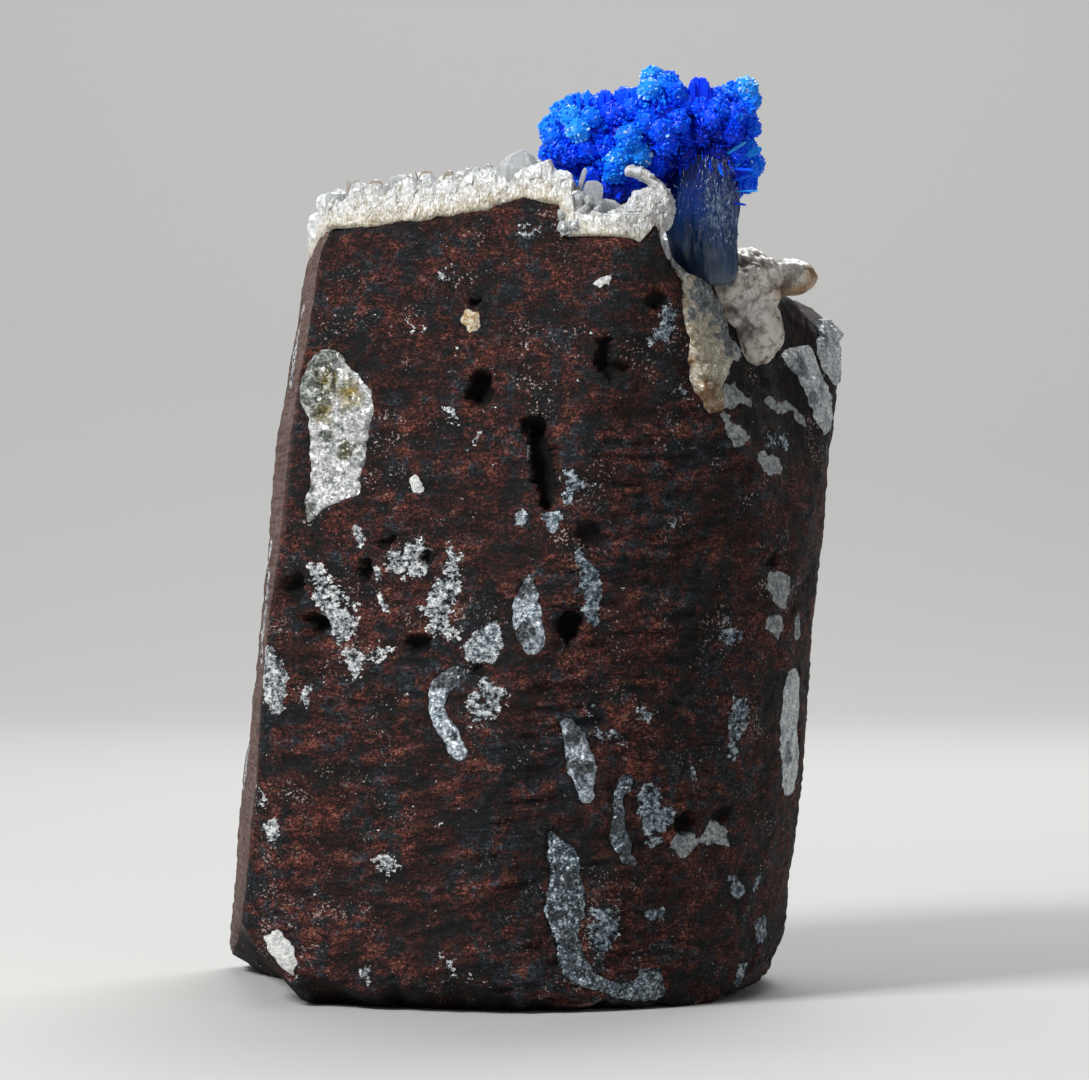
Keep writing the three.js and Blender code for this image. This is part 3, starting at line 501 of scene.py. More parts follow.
# The ridge field darkens the valleys between the drill's ridges as painted shade.
shade = sum_of(basalt, (grain, 0.62), (streaks, 0.26), ("ridge", 0.12))
# The red and slate ramps run down to near black where the grain tone is lowest: painted shade in the gaps
# between grains.
red = graded(basalt, [(0.42, "#050202"), (0.475, "#1d0b09"), (0.525, "#4c2019"), (0.58, "#804536"),
                      (0.67, "#b98b7a")], (shade, 1))
slate = graded(basalt, [(0.42, "#020304"), (0.475, "#0a0e11"), (0.525, "#192026"), (0.58, "#333c45"),
                        (0.67, "#6b757e")], (shade, 1))
gloom = graded(basalt, [(0.4, "#948c8a"), (0.56, "#ffffff")], (stretched_noise(basalt, place, 5, 3.4), 1))
rock = coats(basalt, red, (slate_share, slate), (1.0, gloom, "MULTIPLY"))
# The sawn side is smoother and browner, with faint level marks of the blade; its paler tone is painted light
# from the left, which that side faces.
blade_marks = stretched_noise(basalt, place, 14, 0.35, 3.0, 0.7)
sawn_brown = graded(basalt, [(0.42, "#6a534d"), (0.6, "#9a8078")], (blade_marks, 1))
sawn_rock = coats(basalt, rock, (0.5, sawn_brown))
specks = stretched_noise(basalt, place, 0.3, 0.26, 2.0)
speck_region = stretched_noise(basalt, place, 5, 4, 2.0)
feldspar_share = graded(basalt, rising(0.745, 0.785), (specks, 0.7), (speck_region, 0.5))
rock = coats(basalt, rock, ("sawn", sawn_rock), ("fresh", "#86736d", "MULTIPLY"), (feldspar_share, "#a28f88"))

# Zeolite in the skin: sugary grains, whiter to the left and blue-grey, clearer to the right; the
# lace is the same in scattered grains with dark rock between them.
sugar = stretched_noise(basalt, place, 0.5, 0.4, 3.0, 0.8)
knots = stretched_noise(basalt, place, 1.1, 0.9, 3.0, 0.7)
lace_depth = node(basalt, "MapRange", {}, {"Value": "lace", "From Min": -0.6, "From Max": 0.7}).outputs[0]
cover = {"lace": graded(basalt, rising(0.645, 0.672), (lace_depth, 0.2), (knots, 0.55), (sugar, 0.45))}
edge_noise = sum_of(basalt, (grain, 0.5), (sugar, 0.5))
for name, ragged, edge_level in (("patch", 1.6, 0.72), ("dull", 0.8, 0.36),
                                 ("white", 0.3, 0.1), ("cream", 0.3, 0.1)):
    cover[name] = graded(basalt, rising(edge_level, edge_level + 0.08), (edge_noise, ragged), (name, 1.0))
crumbs = sum_of(basalt, (sugar, 0.65), (knots, 0.35))
white = graded(basalt, [(0.41, "#24292e"), (0.47, "#6a7076"), (0.53, "#b4b8bb"), (0.6, "#f4f4f2")],
               (crumbs, 1))
blue_grey = graded(basalt, [(0.40, "#151b21"), (0.47, "#44525d"), (0.54, "#86949e"), (0.62, "#d8e0e4")],
                   (crumbs, 1))
dull = graded(basalt, [(0.42, "#666d72"), (0.5, "#969b9d"), (0.6, "#c6c8c6")], (crumbs, 1))
across = node(basalt, "SeparateXYZ", {}, {0: place}).outputs["X"]
to_right = node(basalt, "MapRange", {}, {"Value": across, "From Min": -8 * MM, "From Max": 6 * MM}).outputs[0]
zeolite_grains = coats(basalt, white, (to_right, blue_grey))
skin = coats(
    basalt, rock, (graded(basalt, rising(0.0, 0.6), ("lace", 1)), "#7d7775", "MULTIPLY"),
    (cover["lace"], zeolite_grains), (cover["patch"], zeolite_grains), (cover["dull"], dull),
    (cover["white"], graded(basalt, [(0.38, "#b9bcbe"), (0.56, "#f2f1ed")], (sugar, 1))),
    (cover["cream"], graded(basalt, [(0.42, "#a8824e"), (0.56, "#ddd3bf")], (sugar, 1))),
    # Open gas bubbles are darkened as painted shade.
    ("hollow", "#4a413e", "MULTIPLY"))
tooth = sum_of(basalt, (streaks, 0.6), (grain, 0.8), (cover["lace"], 0.1))
tooth = node(basalt, "Bump", {}, {"Strength": 1.0, "Distance": 0.36 * MM, "Height": tooth})
finish(basalt, {"Base Color": skin, "Roughness": 0.7, "Specular IOR Level": 0.25, "Normal": tooth.outputs[0]})

# Columns of points lie closest together on the front, which has the most relief.
angle = np.concatenate([np.linspace(-152, 6, 228, endpoint=False), np.linspace(6, 208, 106, endpoint=False)])
foot = edge_height(FOOT_EDGE, angle)
top = edge_height(TOP_EDGE, angle)
crumble = np.stack([angle * DEGREE, 0 * angle, 0 * angle], axis=-1)
foot = np.maximum(foot + 0.35 * noise(crumble, 1.7, 21) + 0.2 * noise(crumble, 0.7, 22), 0.1)
top = top + 0.28 * noise(crumble, 1.6, 23) + 0.15 * noise(crumble, 0.6, 24)

flat_reach = core_reach(angle, 0) - 2.6 - 0.8 * foot
share = np.linspace(0.08, 1, 12)[:, None]
foot_points = around_axis(angle, 0 * share, flat_reach * share)
foot_points[..., 2] = np.where(share < 1, 0.3 * np.clip(noise(foot_points, 2.5, 25), 0, 1), 0)

# Chipped edge between the flat foot and the side.
share = np.linspace(0, 1, 9)[1:-1, None]
chipped_reach = flat_reach + (core_reach(angle, foot) - flat_reach) * share
edge_points = around_axis(angle, foot * share, chipped_reach)
outward = around_axis(angle, 0 * share, 1 + 0 * angle) - around_axis(angle, 0 * share, 0 * angle)
uneven = 0.35 * noise(edge_points, 1.4, 26) + 0.25 * noise(edge_points, 0.7, 27)
edge_points += outward * (uneven * np.sin(np.pi * share))[..., None]

# Rings of the side are level at mid height and bend towards both broken edges.
share = np.linspace(0, 1, 246)[:, None]
height = 2 + 70 * share + (foot - 2) * (1 - share) ** 8 + (top - 72) * share ** 8
side_angle = angle + 0 * height
relief, fields = core_skin(side_angle, height)
edge_gap = np.minimum(height - foot, top - height)
flat = np.stack([side_angle * DEGREE, 0 * height, height], -1)
relief -= 0.45 * np.exp(-edge_gap / 0.5) + 0.5 * np.clip(noise(flat, 1.5, 28), 0, 1) * np.exp(-edge_gap / 1.1)
side_points = around_axis(side_angle, height, core_reach(side_angle, height) + relief)

share = np.linspace(1, 0.03, 25)[1:, None]
top_points = around_axis(angle, top_height(angle, share), (core_reach(angle, top) - 0.45) * share)
top_points[..., 2] += 0.35 * noise(top_points, 1.8, 29) + 0.15 * noise(top_points, 0.8, 30)

rings = np.concatenate([foot_points, edge_points, side_points, top_points])
before, after = len(foot_points) + len(edge_points), len(top_points)
poles = around_axis(np.zeros(2), np.array([0, SUMMIT_HEIGHT]), np.zeros(2))
core_points = np.concatenate([poles[:1], rings.reshape(-1, 3), poles[1:]])


def whole_core(field, rest):
    """Spreads a field of the side over the whole core, with the value `rest` on both ends."""
    padded = np.pad(field, ((before, after), (0, 0)), constant_values=rest)
    return np.concatenate([[rest], padded.ravel(), [rest]])


# The notch face and the broken top are fresh rock, browner and darker than the drilled skin.
cut_in = CORE_RADIUS - core_reach(side_angle, height)
notch = np.clip((side_angle + 66) / 3, 0, 1) * np.clip((14 - side_angle) / 8, 0, 1)
notch *= np.clip((cut_in - 0.5) / 0.8, 0, 1)
sawn = ((side_angle < -135) | (side_angle > 147)) * np.clip((cut_in - 0.4) / 0.6, 0, 1)
add_piece(
    "basalt_core_skin", core_points, ring_faces(len(rings), len(angle)), basalt, ["basalt_core"], "basalt",
    fresh=whole_core(notch, 1), sawn=whole_core(sawn, 0), ridge=whole_core(fields.pop("ridge"), 0.5),
    hollow=whole_core(fields.pop("hollow"), 0),
    **{name: whole_core(depth, -OUTSIDE) for name, depth in fields.items()},
)

# ---------------------------------------------------------------- amygdules
# Gas bubbles of the lava that zeolite filled, cut flush when the core was drilled. Sugary white
# zeolite in flaky cleavage steps, clear or stained in places, each in its own pocket of basalt.

# Clear and stained spots of a filling: angle, height and radius in mm.
CLEAR_SPOTS = {
    "amygdule_left": [(-129.9, 63.5, 1.9), (-132.3, 61.8, 2.2), (-133.5, 60.2, 1.9), (-130.3, 60.6, 1.9),
                      (-131.1, 59.0, 1.7), (-129.1, 55.9, 1.0), (-125.3, 54.3, 1.3), (-132.3, 50.6, 1.2),
                      (-131.7, 48.6, 1.6)],
    "amygdule_heart": [(-97.8, 32.6, 1.7), (-100.6, 32.2, 1.3), (-97.0, 26.6, 0.9)],
    "amygdule_crease": [(-86.2, 41.4, 1.8), (-85.6, 36.6, 1.5)],
    "amygdule_middle": [(-75.7, 26.8, 1.4), (-73.2, 23.4, 1.4)],
    "amygdule_small": [(-65.6, 18.0, 2.4), (-63.5, 15.6, 1.6)],
    "amygdule_foot": [(-74.5, 13.0, 1.4), (-73.2, 7.2, 1.0), (-72.0, 4.8, 0.8), (-75.0, 9.6, 0.9)],
    "amygdule_right": [(-20.0, 24.0, 1.6)],
}
STAINED_SPOTS = {
    "amygdule_left": [(-126.0, 59.7, 1.9), (-130.1, 58.1, 1.5), (-129.6, 61.2, 1.6), (-125.4, 54.3, 1.0)],
    "amygdule_small": [(-60.4, 13.8, 1.2)],
}


def spots(angle, height, places):
    """Share of a stain: 1.3 (1 - distance / radius + noise), kept between 0 and 1, from the nearest
    of the places."""
    share = np.zeros(angle.shape)
    ragged = 0.35 * noise(np.stack([angle * DEGREE, 0 * angle, height], -1), 0.6, 35)
    for spot_angle, spot_height, radius in places:
        offset = np.hypot((angle - spot_angle) * DEGREE, height - spot_height) / radius
        share = np.maximum(share, np.clip(1.3 * (1 - offset + ragged), 0, 1) * (offset < 1.3))
    return share


def filling_skin(rows, proud, deep, seed, flake=0.12):
    """Closed skin of a filling on the column. Across a row the upper side stands out by
    proud (1 - s^6) with s from -1 to 1, and dips under the rock at its edges; the lower side lies
    deep sqrt(1 - s^2) in. Both ends close on a point."""
    rows = np.array(rows, float)
    middle = (rows[:, :2] + rows[:, 2:]) / 2 * [DEGREE, 1]
    travelled = np.concatenate([[0], np.cumsum(np.hypot(*np.diff(middle, axis=0).T))])
    along = np.linspace(0, travelled[-1], int(travelled[-1] / 0.16) + 2)[1:-1]
    left_angle, left_height, right_angle, right_height = (
        np.interp(along, travelled, column) for column in rows.T)
    closing = (1 - (2 * along / travelled[-1] - 1) ** 12)[:, None]
    upper = np.linspace(-1, 1, 36)
    lower = np.linspace(1, -1, 10)[1:-1]
    s = np.concatenate([upper, lower])
    angle = (left_angle + right_angle)[:, None] / 2 + s * (right_angle - left_angle)[:, None] / 2
    height = (left_height + right_height)[:, None] / 2 + s * (right_height - left_height)[:, None] / 2
    flat = np.stack([angle * DEGREE, 0 * angle, height], axis=-1)
    angle = angle + s * (0.3 * noise(flat, 0.9, seed) + 0.12 * noise(flat, 0.4, seed + 4)) / DEGREE
    steps = np.round(2.5 * noise(flat, (1.7, 1, 0.9), seed + 1)) / 2.5
    grainy = flake * (1.1 * steps + 0.7 * noise(flat, 0.7, seed + 2) + 0.6 * noise(flat, 0.33, seed + 3))
    is_upper = np.arange(len(s)) < len(upper)
    out = np.where(is_upper, (proud + grainy) * (1 - s ** 6) - 0.3 * s ** 6, -deep * np.sqrt(1 - s * s) - 0.3)
    out = out * closing - 0.3 * (1 - closing)
    points = around_axis(angle, height, core_reach(angle, height) + out)
    ends = rows[[0, -1]].reshape(2, 2, 2).mean(axis=1).T
    tips = around_axis(*ends, core_reach(*ends) - 0.3)
    points = np.concatenate([tips[:1], points.reshape(-1, 3), tips[1:]])
    angle, height = (np.concatenate([end[:1], line.ravel(), end[1:]])
                     for end, line in zip(ends, (angle, height)))
    return points, ring_faces(len(along), len(s)), angle, height


def facets(material, place, size, tilt):
    """Normal of a skin of small crystal faces: cells `size` mm wide, each a plane with a slope of its
    own, as the height (random vector of the cell) . (place - middle of the cell)."""
    cells = node(material, "VectorMath", {"operation": "SCALE"},
                 {0: place, "Scale": 1 / (size * MM)}).outputs[0]
    cell = node(material, "TexVoronoi", {}, {"Vector": cells, "Scale": 1.0, "Randomness": 1.0})
    slope = node(material, "VectorMath", {"operation": "SUBTRACT"},
                 {0: cell.outputs["Color"], 1: (0.5, 0.5, 0.5)})
    offset = node(material, "VectorMath", {"operation": "SUBTRACT"}, {0: cells, 1: cell.outputs["Position"]})
    height = node(material, "VectorMath", {"operation": "DOT_PRODUCT"},
                  {0: slope.outputs[0], 1: offset.outputs[0]})
    return node(material, "Bump", {}, {
        "Strength": 1.0, "Distance": tilt * size * MM, "Height": height.outputs["Value"]}).outputs[0]


def zeolite_material(name, stops, grain_size, clear=("#14181b", "#59636b", "#c9cfd2"), clear_level=0.58,
                     stain="#c4ae62", roughness=0.3):
    """Sugary zeolite broken in flakes: whites mixed by a grain, glassy and darker where it is clear,
    coloured where it is stained, with facets that tilt at random and a little light in it."""
    made, place = new_material(name)
    fine = stretched_noise(made, place, 0.28, 0.22, 2.0, 0.7)
    coarse = stretched_noise(made, place, grain_size, grain_size, 4.0, 0.75)
    veil = stretched_noise(made, place, 1.5, 1.1, 3.0, 0.6)
    mixed = sum_of(made, (coarse, 0.5), (fine, 0.5))
    clear_share = graded(made, rising(clear_level - 0.02, clear_level + 0.1),
                         ("clear", 0.5), (veil, 0.6), (fine, 0.15))
    glassy_look = graded(made, list(zip((0.4, 0.5, 0.62), clear)), (mixed, 1))
    colour = coats(made, graded(made, stops, (mixed, 1)),
                   (clear_share, glassy_look), ("stain", stain, "MULTIPLY"))
    finish(made, {
        "Base Color": colour, "Roughness": roughness, "Subsurface Weight": 0.25,
        "Subsurface Radius": (1.0, 0.95, 0.85), "Subsurface Scale": 0.4 * MM,
        "Normal": facets(made, place, 0.4, 1.0)})
    return made


flaky_white = zeolite_material("flaky white zeolite", [
    (0.40, "#6d7173"), (0.46, "#979a9b"), (0.52, "#bcbdbc"), (0.58, "#d9d8d5"), (0.65, "#fbfaf7")], 1.0,
    clear=("#2c302e", "#63675f", "#b9bdb8"), clear_level=0.53)
streaky_blue = zeolite_material("streaky blue-white zeolite", [
    (0.41, "#3c474f"), (0.47, "#77848e"), (0.53, "#a9b3bb"), (0.61, "#e6ebee")], 0.6,
    clear=("#0f1315", "#33393d", "#7d868c"), clear_level=0.53)
granular_blue = zeolite_material("blue-grey granular zeolite", [
    (0.41, "#0b1014"), (0.48, "#313d46"), (0.54, "#76858f"), (0.61, "#d3dce1")], 0.7,
    clear=("#0b0f12", "#2c353c", "#6f7b84"), clear_level=0.54, stain="#c06a22")
milky_white = zeolite_material("milky vein zeolite", [
    (0.4, "#7a8388"), (0.5, "#b3babd"), (0.6, "#f0f2f2")], 1.6, clear=("#3b4348", "#6d757a", "#a9b0b4"))
looks = {"amygdule_left": flaky_white, "amygdule_heart": streaky_blue, "amygdule_crease": streaky_blue,
         "amygdule_middle": streaky_blue, "amygdule_right": milky_white}
for index, (name, rows) in enumerate(AMYGDULES.items()):
    points, faces, angle, height = filling_skin(rows, proud=0.08, deep=1.2, seed=40 + 5 * index)
    add_piece(name + "_filling", points, faces, looks.get(name, granular_blue), [name], "amygdule_zeolite",
              clear=spots(angle, height, CLEAR_SPOTS[name]),
              stain=spots(angle, height, STAINED_SPOTS.get(name, [])))

# ---------------------------------------------------------------- lining and veins of the notch
# Zeolite that grew on the wall of the old cavity: a cream, translucent lining under the calcite
# that turns tan at its foot, and two soft white veins near the right edge.

LINING = [
    (-65.6, 72.9, -64.9, 73.0), (-65.3, 72.1, -63.7, 72.2), (-64.3, 71.3, -61.2, 71.4),
    (-62.9, 70.6, -54.0, 70.8), (-62.6, 69.7, -51.8, 70.1), (-62.5, 68.4, -48.1, 68.8),
    (-62.3, 66.8, -46.7, 67.3), (-61.9, 65.2, -45.9, 65.5), (-61.3, 63.2, -44.5, 63.7),
    (-60.4, 61.5, -49.0, 62.1), (-58.8, 60.0, -51.4, 60.5), (-57.3, 58.9, -51.6, 59.3),
    (-55.3, 57.6, -51.9, 58.0),
]
UPPER_VEIN = [
    (-3.3, 68.2, -0.1, 68.2), (-5.9, 66.9, 2.1, 67.0), (-8.2, 65.5, 1.4, 65.8),
    (-9.3, 64.3, 0.4, 64.5), (-7.9, 63.0, -0.3, 63.1), (-5.4, 62.1, -1.9, 62.1), (-3.8, 61.2, -2.4, 61.2),
]
LOWER_VEIN = [
    (-24.6, 64.5, -10.8, 65.5), (-24.1, 63.3, -10.0, 64.0), (-19.9, 62.0, -8.7, 62.5),
    (-17.8, 60.8, -7.3, 61.1), (-16.2, 59.6, -6.3, 59.8), (-15.4, 57.9, -7.8, 58.4),
    (-13.8, 56.8, -9.5, 57.2), (-12.1, 55.9, -10.5, 56.1),
]
cream = zeolite_material("cream translucent zeolite", [
    (0.38, "#8b7f66"), (0.46, "#a89e88"), (0.54, "#c2bbaa"), (0.64, "#e6e2d8")], 1.4,
    clear=("#3f4346", "#686d70", "#9da2a5"), clear_level=0.585, stain="#a9835f", roughness=0.22)
for name, rows, proud, seed, look, slot, clear, stain in (
    ("notch_lining", LINING, 0.8, 12, cream, "cream_zeolite",
     [(-57, 69.5, 3.6), (-51.5, 68.0, 3.2), (-64.5, 72, 1.8), (-49, 65, 2.6), (-61.0, 67.5, 1.2)],
     [(-56.5, 59.6, 2.6), (-53.5, 58.0, 1.8), (-60.5, 62.6, 0.9)]),
    ("upper_vein", UPPER_VEIN, 0.6, 10, milky_white, "white_zeolite", [(-6, 66, 1.2)], []),
    ("lower_vein", LOWER_VEIN, 0.7, 10, milky_white, "white_zeolite", [(-19, 63.2, 2.0), (-15, 60, 1.0)], []),
):
    points, faces, angle, height = filling_skin(rows, proud, deep=0.8, seed=seed, flake=0.2)
    add_piece(name + "_growth", points, faces, look, [name], slot,
              clear=spots(angle, height, clear), stain=spots(angle, height, stain))

# ---------------------------------------------------------------- calcite lump
# Rounded, glassy brown-grey calcite that grew over the lip of the notch, with an arm that reaches
# out to the right. Its skin is a crowd of low bubbles full of small sparkling faces.

CALCITE_LOBES = [
    ((24.1, -13.7, 70.8), (3.7, 4.1, 3.5)), ((28.4, -11.4, 71.6), (2.8, 2.8, 1.8)),
    ((24.8, -14.6, 66.3), (3.0, 2.9, 3.3)), ((22.6, -16.2, 69.6), (2.9, 2.9, 3.3)),
]


def lobed_body(lobes, start, columns, rings, softness):
    """Closed body around `start`: in each direction its skin lies where the ray leaves the furthest
    ellipsoid, at e, plus softness log(sum of exp((exit - e) / softness)), which fills the joints."""
    rise = (np.linspace(-0.5, 0.5, rings + 2)[1:-1] * np.pi)[:, None]
    turn = (np.arange(columns) / columns * 2 * np.pi)[None]
    level = np.cos(rise)
    direction = np.stack([level * np.cos(turn), level * np.sin(turn), np.sin(rise) + 0 * turn], -1)
    direction = np.concatenate([[[0, 0, -1]], direction.reshape(-1, 3), [[0, 0, 1]]])
    exits = []
    for centre, radii in lobes:
        ray, offset = direction / radii, (np.array(start) - centre) / radii
        a, b, c = np.sum(ray * ray, -1), ray @ offset, offset @ offset - 1
        root = b * b - a * c
        exits.append(np.where(root > 0, (np.sqrt(np.maximum(root, 0)) - b) / a, 0))
    exits = np.array(exits)
    furthest = exits.max(axis=0)
    reach = furthest + softness * np.log(np.sum(np.exp((exits - furthest) / softness), axis=0))
    return direction, reach, ring_faces(rings, columns)


def domes(points, size, seed):
    """Low domes side by side, from 0 to 1: 1 - (d / size)^2 for the distance d to the nearest of the
    centres, one of which lies at a random place in each cell `size` wide."""
    place = points / size
    cell = np.floor(place).astype(np.int64)
    nearest = np.full(points.shape[:-1], 4.0)
    for step in np.ndindex(3, 3, 3):
        home = cell + step - 1
        centre = home + 0.5 + 0.42 * np.stack([scatter(home, seed + axis) for axis in range(3)], -1)
        nearest = np.minimum(nearest, np.sum((place - centre) ** 2, axis=-1))
    return np.clip(1 - nearest, 0, 1)


calcite, place = new_material("glassy brown calcite")
# Glassy, a little see-through and brown-grey: paler on the crowns of the bubbles as painted light, darker
# brown in the creases as painted shade, with fine specks of painted sparkle.
cloud = stretched_noise(calcite, place, 1.3, 1.3, 4.0, 0.7)
sparkle = stretched_noise(calcite, place, 0.35, 0.3, 2.0, 0.7)
depth = sum_of(calcite, ("crease", 0.6), (cloud, 0.25), (sparkle, 0.3))
brown = graded(calcite, [
    (0.34, "#ddd6cb"), (0.39, "#a99d8e"), (0.45, "#7d6f61"), (0.54, "#54473b"), (0.7, "#2f261f")], (depth, 1))
milky = graded(calcite, [(0.3, "#eceae5"), (0.42, "#b5b3ad"), (0.6, "#605c57")], (depth, 1))
finish(calcite, {
    "Base Color": coats(calcite, brown, ("white", milky), ("amber", "#c9a06c", "MULTIPLY")),
    "Roughness": 0.3, "IOR": 1.6, "Transmission Weight": 0.2,
    "Subsurface Weight": 0.5, "Subsurface Radius": (1.0, 0.8, 0.6), "Subsurface Scale": 0.8 * MM,
    "Normal": facets(calcite, place, 0.45, 0.16)})

lump_start = np.array([25.0, -13.8, 69.6])
direction, reach, faces = lobed_body(CALCITE_LOBES, lump_start, columns=240, rings=140, softness=0.3)
on_skin = lump_start + direction * reach[:, None]
bubbles, froth = np.sqrt(domes(on_skin, 2.2, 61)), np.sqrt(domes(on_skin, 0.95, 64))
lumpy = 1.2 * bubbles + 0.5 * froth + 0.1 * noise(on_skin, 0.45, 63) - 1.3
on_skin = lump_start + direction * (reach + lumpy)[:, None]
across, height = on_skin[:, 0], on_skin[:, 2]
# The arm is whiter on its upper side, partly its own cream and partly painted light from above.
arm_white = 0.45 * np.clip((across - 25.6) / 1.5, 0, 1) * np.clip(height - 71.3, 0, 1)
drop_white = np.clip(1.6 - np.hypot((across - 24.4) / 2.2, (height - 67.5) / 3.6) * 1.5, 0, 0.7)
tip_amber = np.clip((across - 29.6) / 1.4, 0, 1)
under_amber = np.clip((across - 26.6) / 1.5, 0, 1) * np.clip(71.2 - height, 0, 1) * (height > 69)
# crease: how far down between the bubbles a point lies, which the material darkens as painted shade.
add_piece("calcite_lump_growth", on_skin, faces, calcite, ["calcite_lump"], "brown_calcite",
          white=np.clip(np.maximum(arm_white, drop_white) + 0.2 * noise(on_skin, 0.8, 65), 0, 1),
          crease=1 - 0.5 * bubbles - 0.5 * froth, amber=np.clip(tip_amber + under_amber, 0, 1))

# ---------------------------------------------------------------- cavansite cluster
# Vivid blue calcium vanadium silicate in crowded knobs, each a tuft of small blades that point
# out of its middle. The blades stand on one grown-together mass, which roots in the clear column.

CLUSTER_LOBES = [
    ((8.0, -19.6, 84.6), (3.7, 3.6, 3.8)), ((15.6, -19.0, 86.3), (3.0, 4.6, 4.7)),
    ((20.9, -18.6, 86.0), (3.7, 4.0, 3.3)), ((10.6, -20.8, 81.4), (2.5, 2.7, 2.6)),
    ((22.2, -18.0, 82.4), (2.5, 3.0, 2.7)), ((13.0, -12.8, 83.8), (5.8, 4.2, 4.2)),
    ((11.9, -19.2, 84.7), (3.0, 4.2, 4.1)), ((15.0, -17.4, 84.2), (7.8, 4.4, 4.2)),
]
# Knobs that show on the front: x, height, radius, and how light their blue is, which also paints light on
# the upper left of the cluster and shade on its lower right and in its hollows.
KNOBS = [
    (4.9, 85.9, 1.1, 0.8), (5.9, 87.3, 1.1, 0.8), (7.0, 88.2, 1.0, 0.7), (8.2, 88.5, 0.9, 0.7),
    (10.0, 88.7, 0.9, 0.4), (12.1, 89.0, 0.9, 0.5), (13.2, 88.8, 0.9, 0.5), (14.8, 90.7, 1.15, 0.95),
    (14.5, 89.2, 1.2, 0.9), (16.3, 90.0, 1.0, 0.7), (17.0, 89.2, 1.1, 0.5), (19.2, 89.4, 0.9, 0.2),
    (21.1, 88.8, 1.0, 0.5), (22.6, 89.3, 1.2, 0.7), (23.9, 89.6, 1.35, 0.95), (24.3, 88.6, 1.2, 0.8),
    (24.0, 87.4, 0.9, 0.5), (5.2, 84.6, 1.2, 0.6), (7.6, 85.2, 1.3, 0.95), (8.7, 86.5, 1.1, 0.7),
    (6.8, 86.7, 1.1, 0.9), (10.9, 86.9, 1.2, 0.3), (12.9, 87.4, 1.2, 0.5), (14.1, 86.2, 1.2, 0.5),
    (11.0, 82.3, 0.95, 0.9), (10.7, 80.9, 0.8, 0.75), (12.4, 84.6, 1.3, 0.75), (15.5, 85.2, 1.2, 0.4),
    (16.0, 84.0, 1.2, 0.3), (9.9, 83.8, 1.2, 0.35), (8.2, 83.3, 1.1, 0.3), (6.8, 83.0, 1.1, 0.3),
    (5.8, 83.6, 1.0, 0.4), (13.4, 83.0, 1.3, 0.9), (11.5, 82.8, 1.2, 0.8), (15.0, 82.3, 1.2, 0.25),
    (10.9, 81.4, 1.0, 0.7), (17.2, 86.2, 1.2, 0.4), (18.0, 87.9, 1.2, 0.35), (18.0, 84.9, 1.1, 0.2),
    (19.5, 87.5, 1.1, 0.3), (20.4, 86.5, 1.1, 0.3), (21.2, 87.5, 1.1, 0.45), (22.8, 87.0, 1.1, 0.4),
    (22.4, 85.2, 1.1, 0.15), (19.6, 84.9, 1.1, 0.05), (20.8, 83.6, 1.1, 0.02), (18.0, 82.9, 1.1, 0.05),
    (23.0, 83.4, 1.0, 0.3), (12.6, 80.6, 1.0, 0.2), (11.2, 79.4, 1.0, 0.1), (8.8, 80.9, 1.0, 0.3),
    (10.0, 79.6, 0.9, 0.15), (14.2, 80.6, 0.9, 0.15),
]
# Larger single crystals: foot, direction, width, thickness, length and how light.
SINGLES = [
    ((7.6, -21.8, 86.9), (-0.05, 0, 1), 0.45, 0.35, 2.3, 0.6),
    ((8.3, -21.8, 87.0), (0.06, 0, 1), 0.4, 0.3, 2.4, 0.6),
    ((7.0, -21.8, 86.7), (-0.12, 0, 1), 0.4, 0.3, 2.2, 0.6),
    ((5.0, -20.2, 85.6), (-1, -0.15, 0.3), 0.8, 0.3, 1.6, 0.95),
    ((3.9, -20.0, 81.6), (-0.8, -0.3, 0.5), 0.8, 0.3, 1.3, 0.3),
    ((22.0, -21.3, 83.2), (1, -0.2, 0.6), 0.35, 0.1, 2.2, 1.0),
    ((22.8, -20.4, 82.6), (1, -0.1, 0.45), 0.8, 0.1, 2.9, 0.8),
    ((23.4, -19.6, 83.6), (0.5, 0, 1), 0.7, 0.1, 2.3, 0.7),
    ((22.3, -20.8, 81.8), (1, -0.2, -0.1), 0.3, 0.1, 2.4, 0.4),
    ((22.8, -20.6, 82.0), (1, 0, 0.9), 0.5, 0.1, 2.8, 0.8),
    ((22.6, -20.0, 79.6), (1, -0.1, 0.02), 0.16, 0.1, 2.6, 0.95),
    ((22.4, -20.2, 80.6), (1, 0, 0.3), 0.3, 0.16, 2.0, 0.6),
    ((22.4, -19.6, 78.6), (1, 0, -0.2), 0.25, 0.14, 1.6, 0.4),
]

# Rounded heads of upright blades grown side by side: middle, height, half width and how light.
BUNDLES = [(19.3, 90.9, 1.15, 0.12), (10.1, 89.5, 0.65, 0.3), (11.9, 89.7, 0.6, 0.3), (12.9, 89.7, 0.6, 0.4)]

# Deep blue in the thick and in shade, paler where a thin blade lets the light through.
cavansite, place = new_material("cavansite blades")
blue = graded(cavansite, [
    (0.0, "#010a48"), (0.1, "#0120b0"), (0.2, "#0136ea"), (0.34, "#024eff"), (0.6, "#0474ff"),
    (0.82, "#1c9aff"), (0.94, "#5cbcff"), (1.0, "#c4e8ff")], ("tone", 1))
finish(cavansite, {"Base Color": blue, "Roughness": 0.35, "IOR": 1.55, "Specular IOR Level": 0.2,
                   "Normal": facets(cavansite, place, 0.4, 0.25)})

dice = np.random.default_rng(77)


def unit(vectors):
    """The same directions with length 1."""
    return vectors / np.linalg.norm(vectors, axis=-1, keepdims=True)


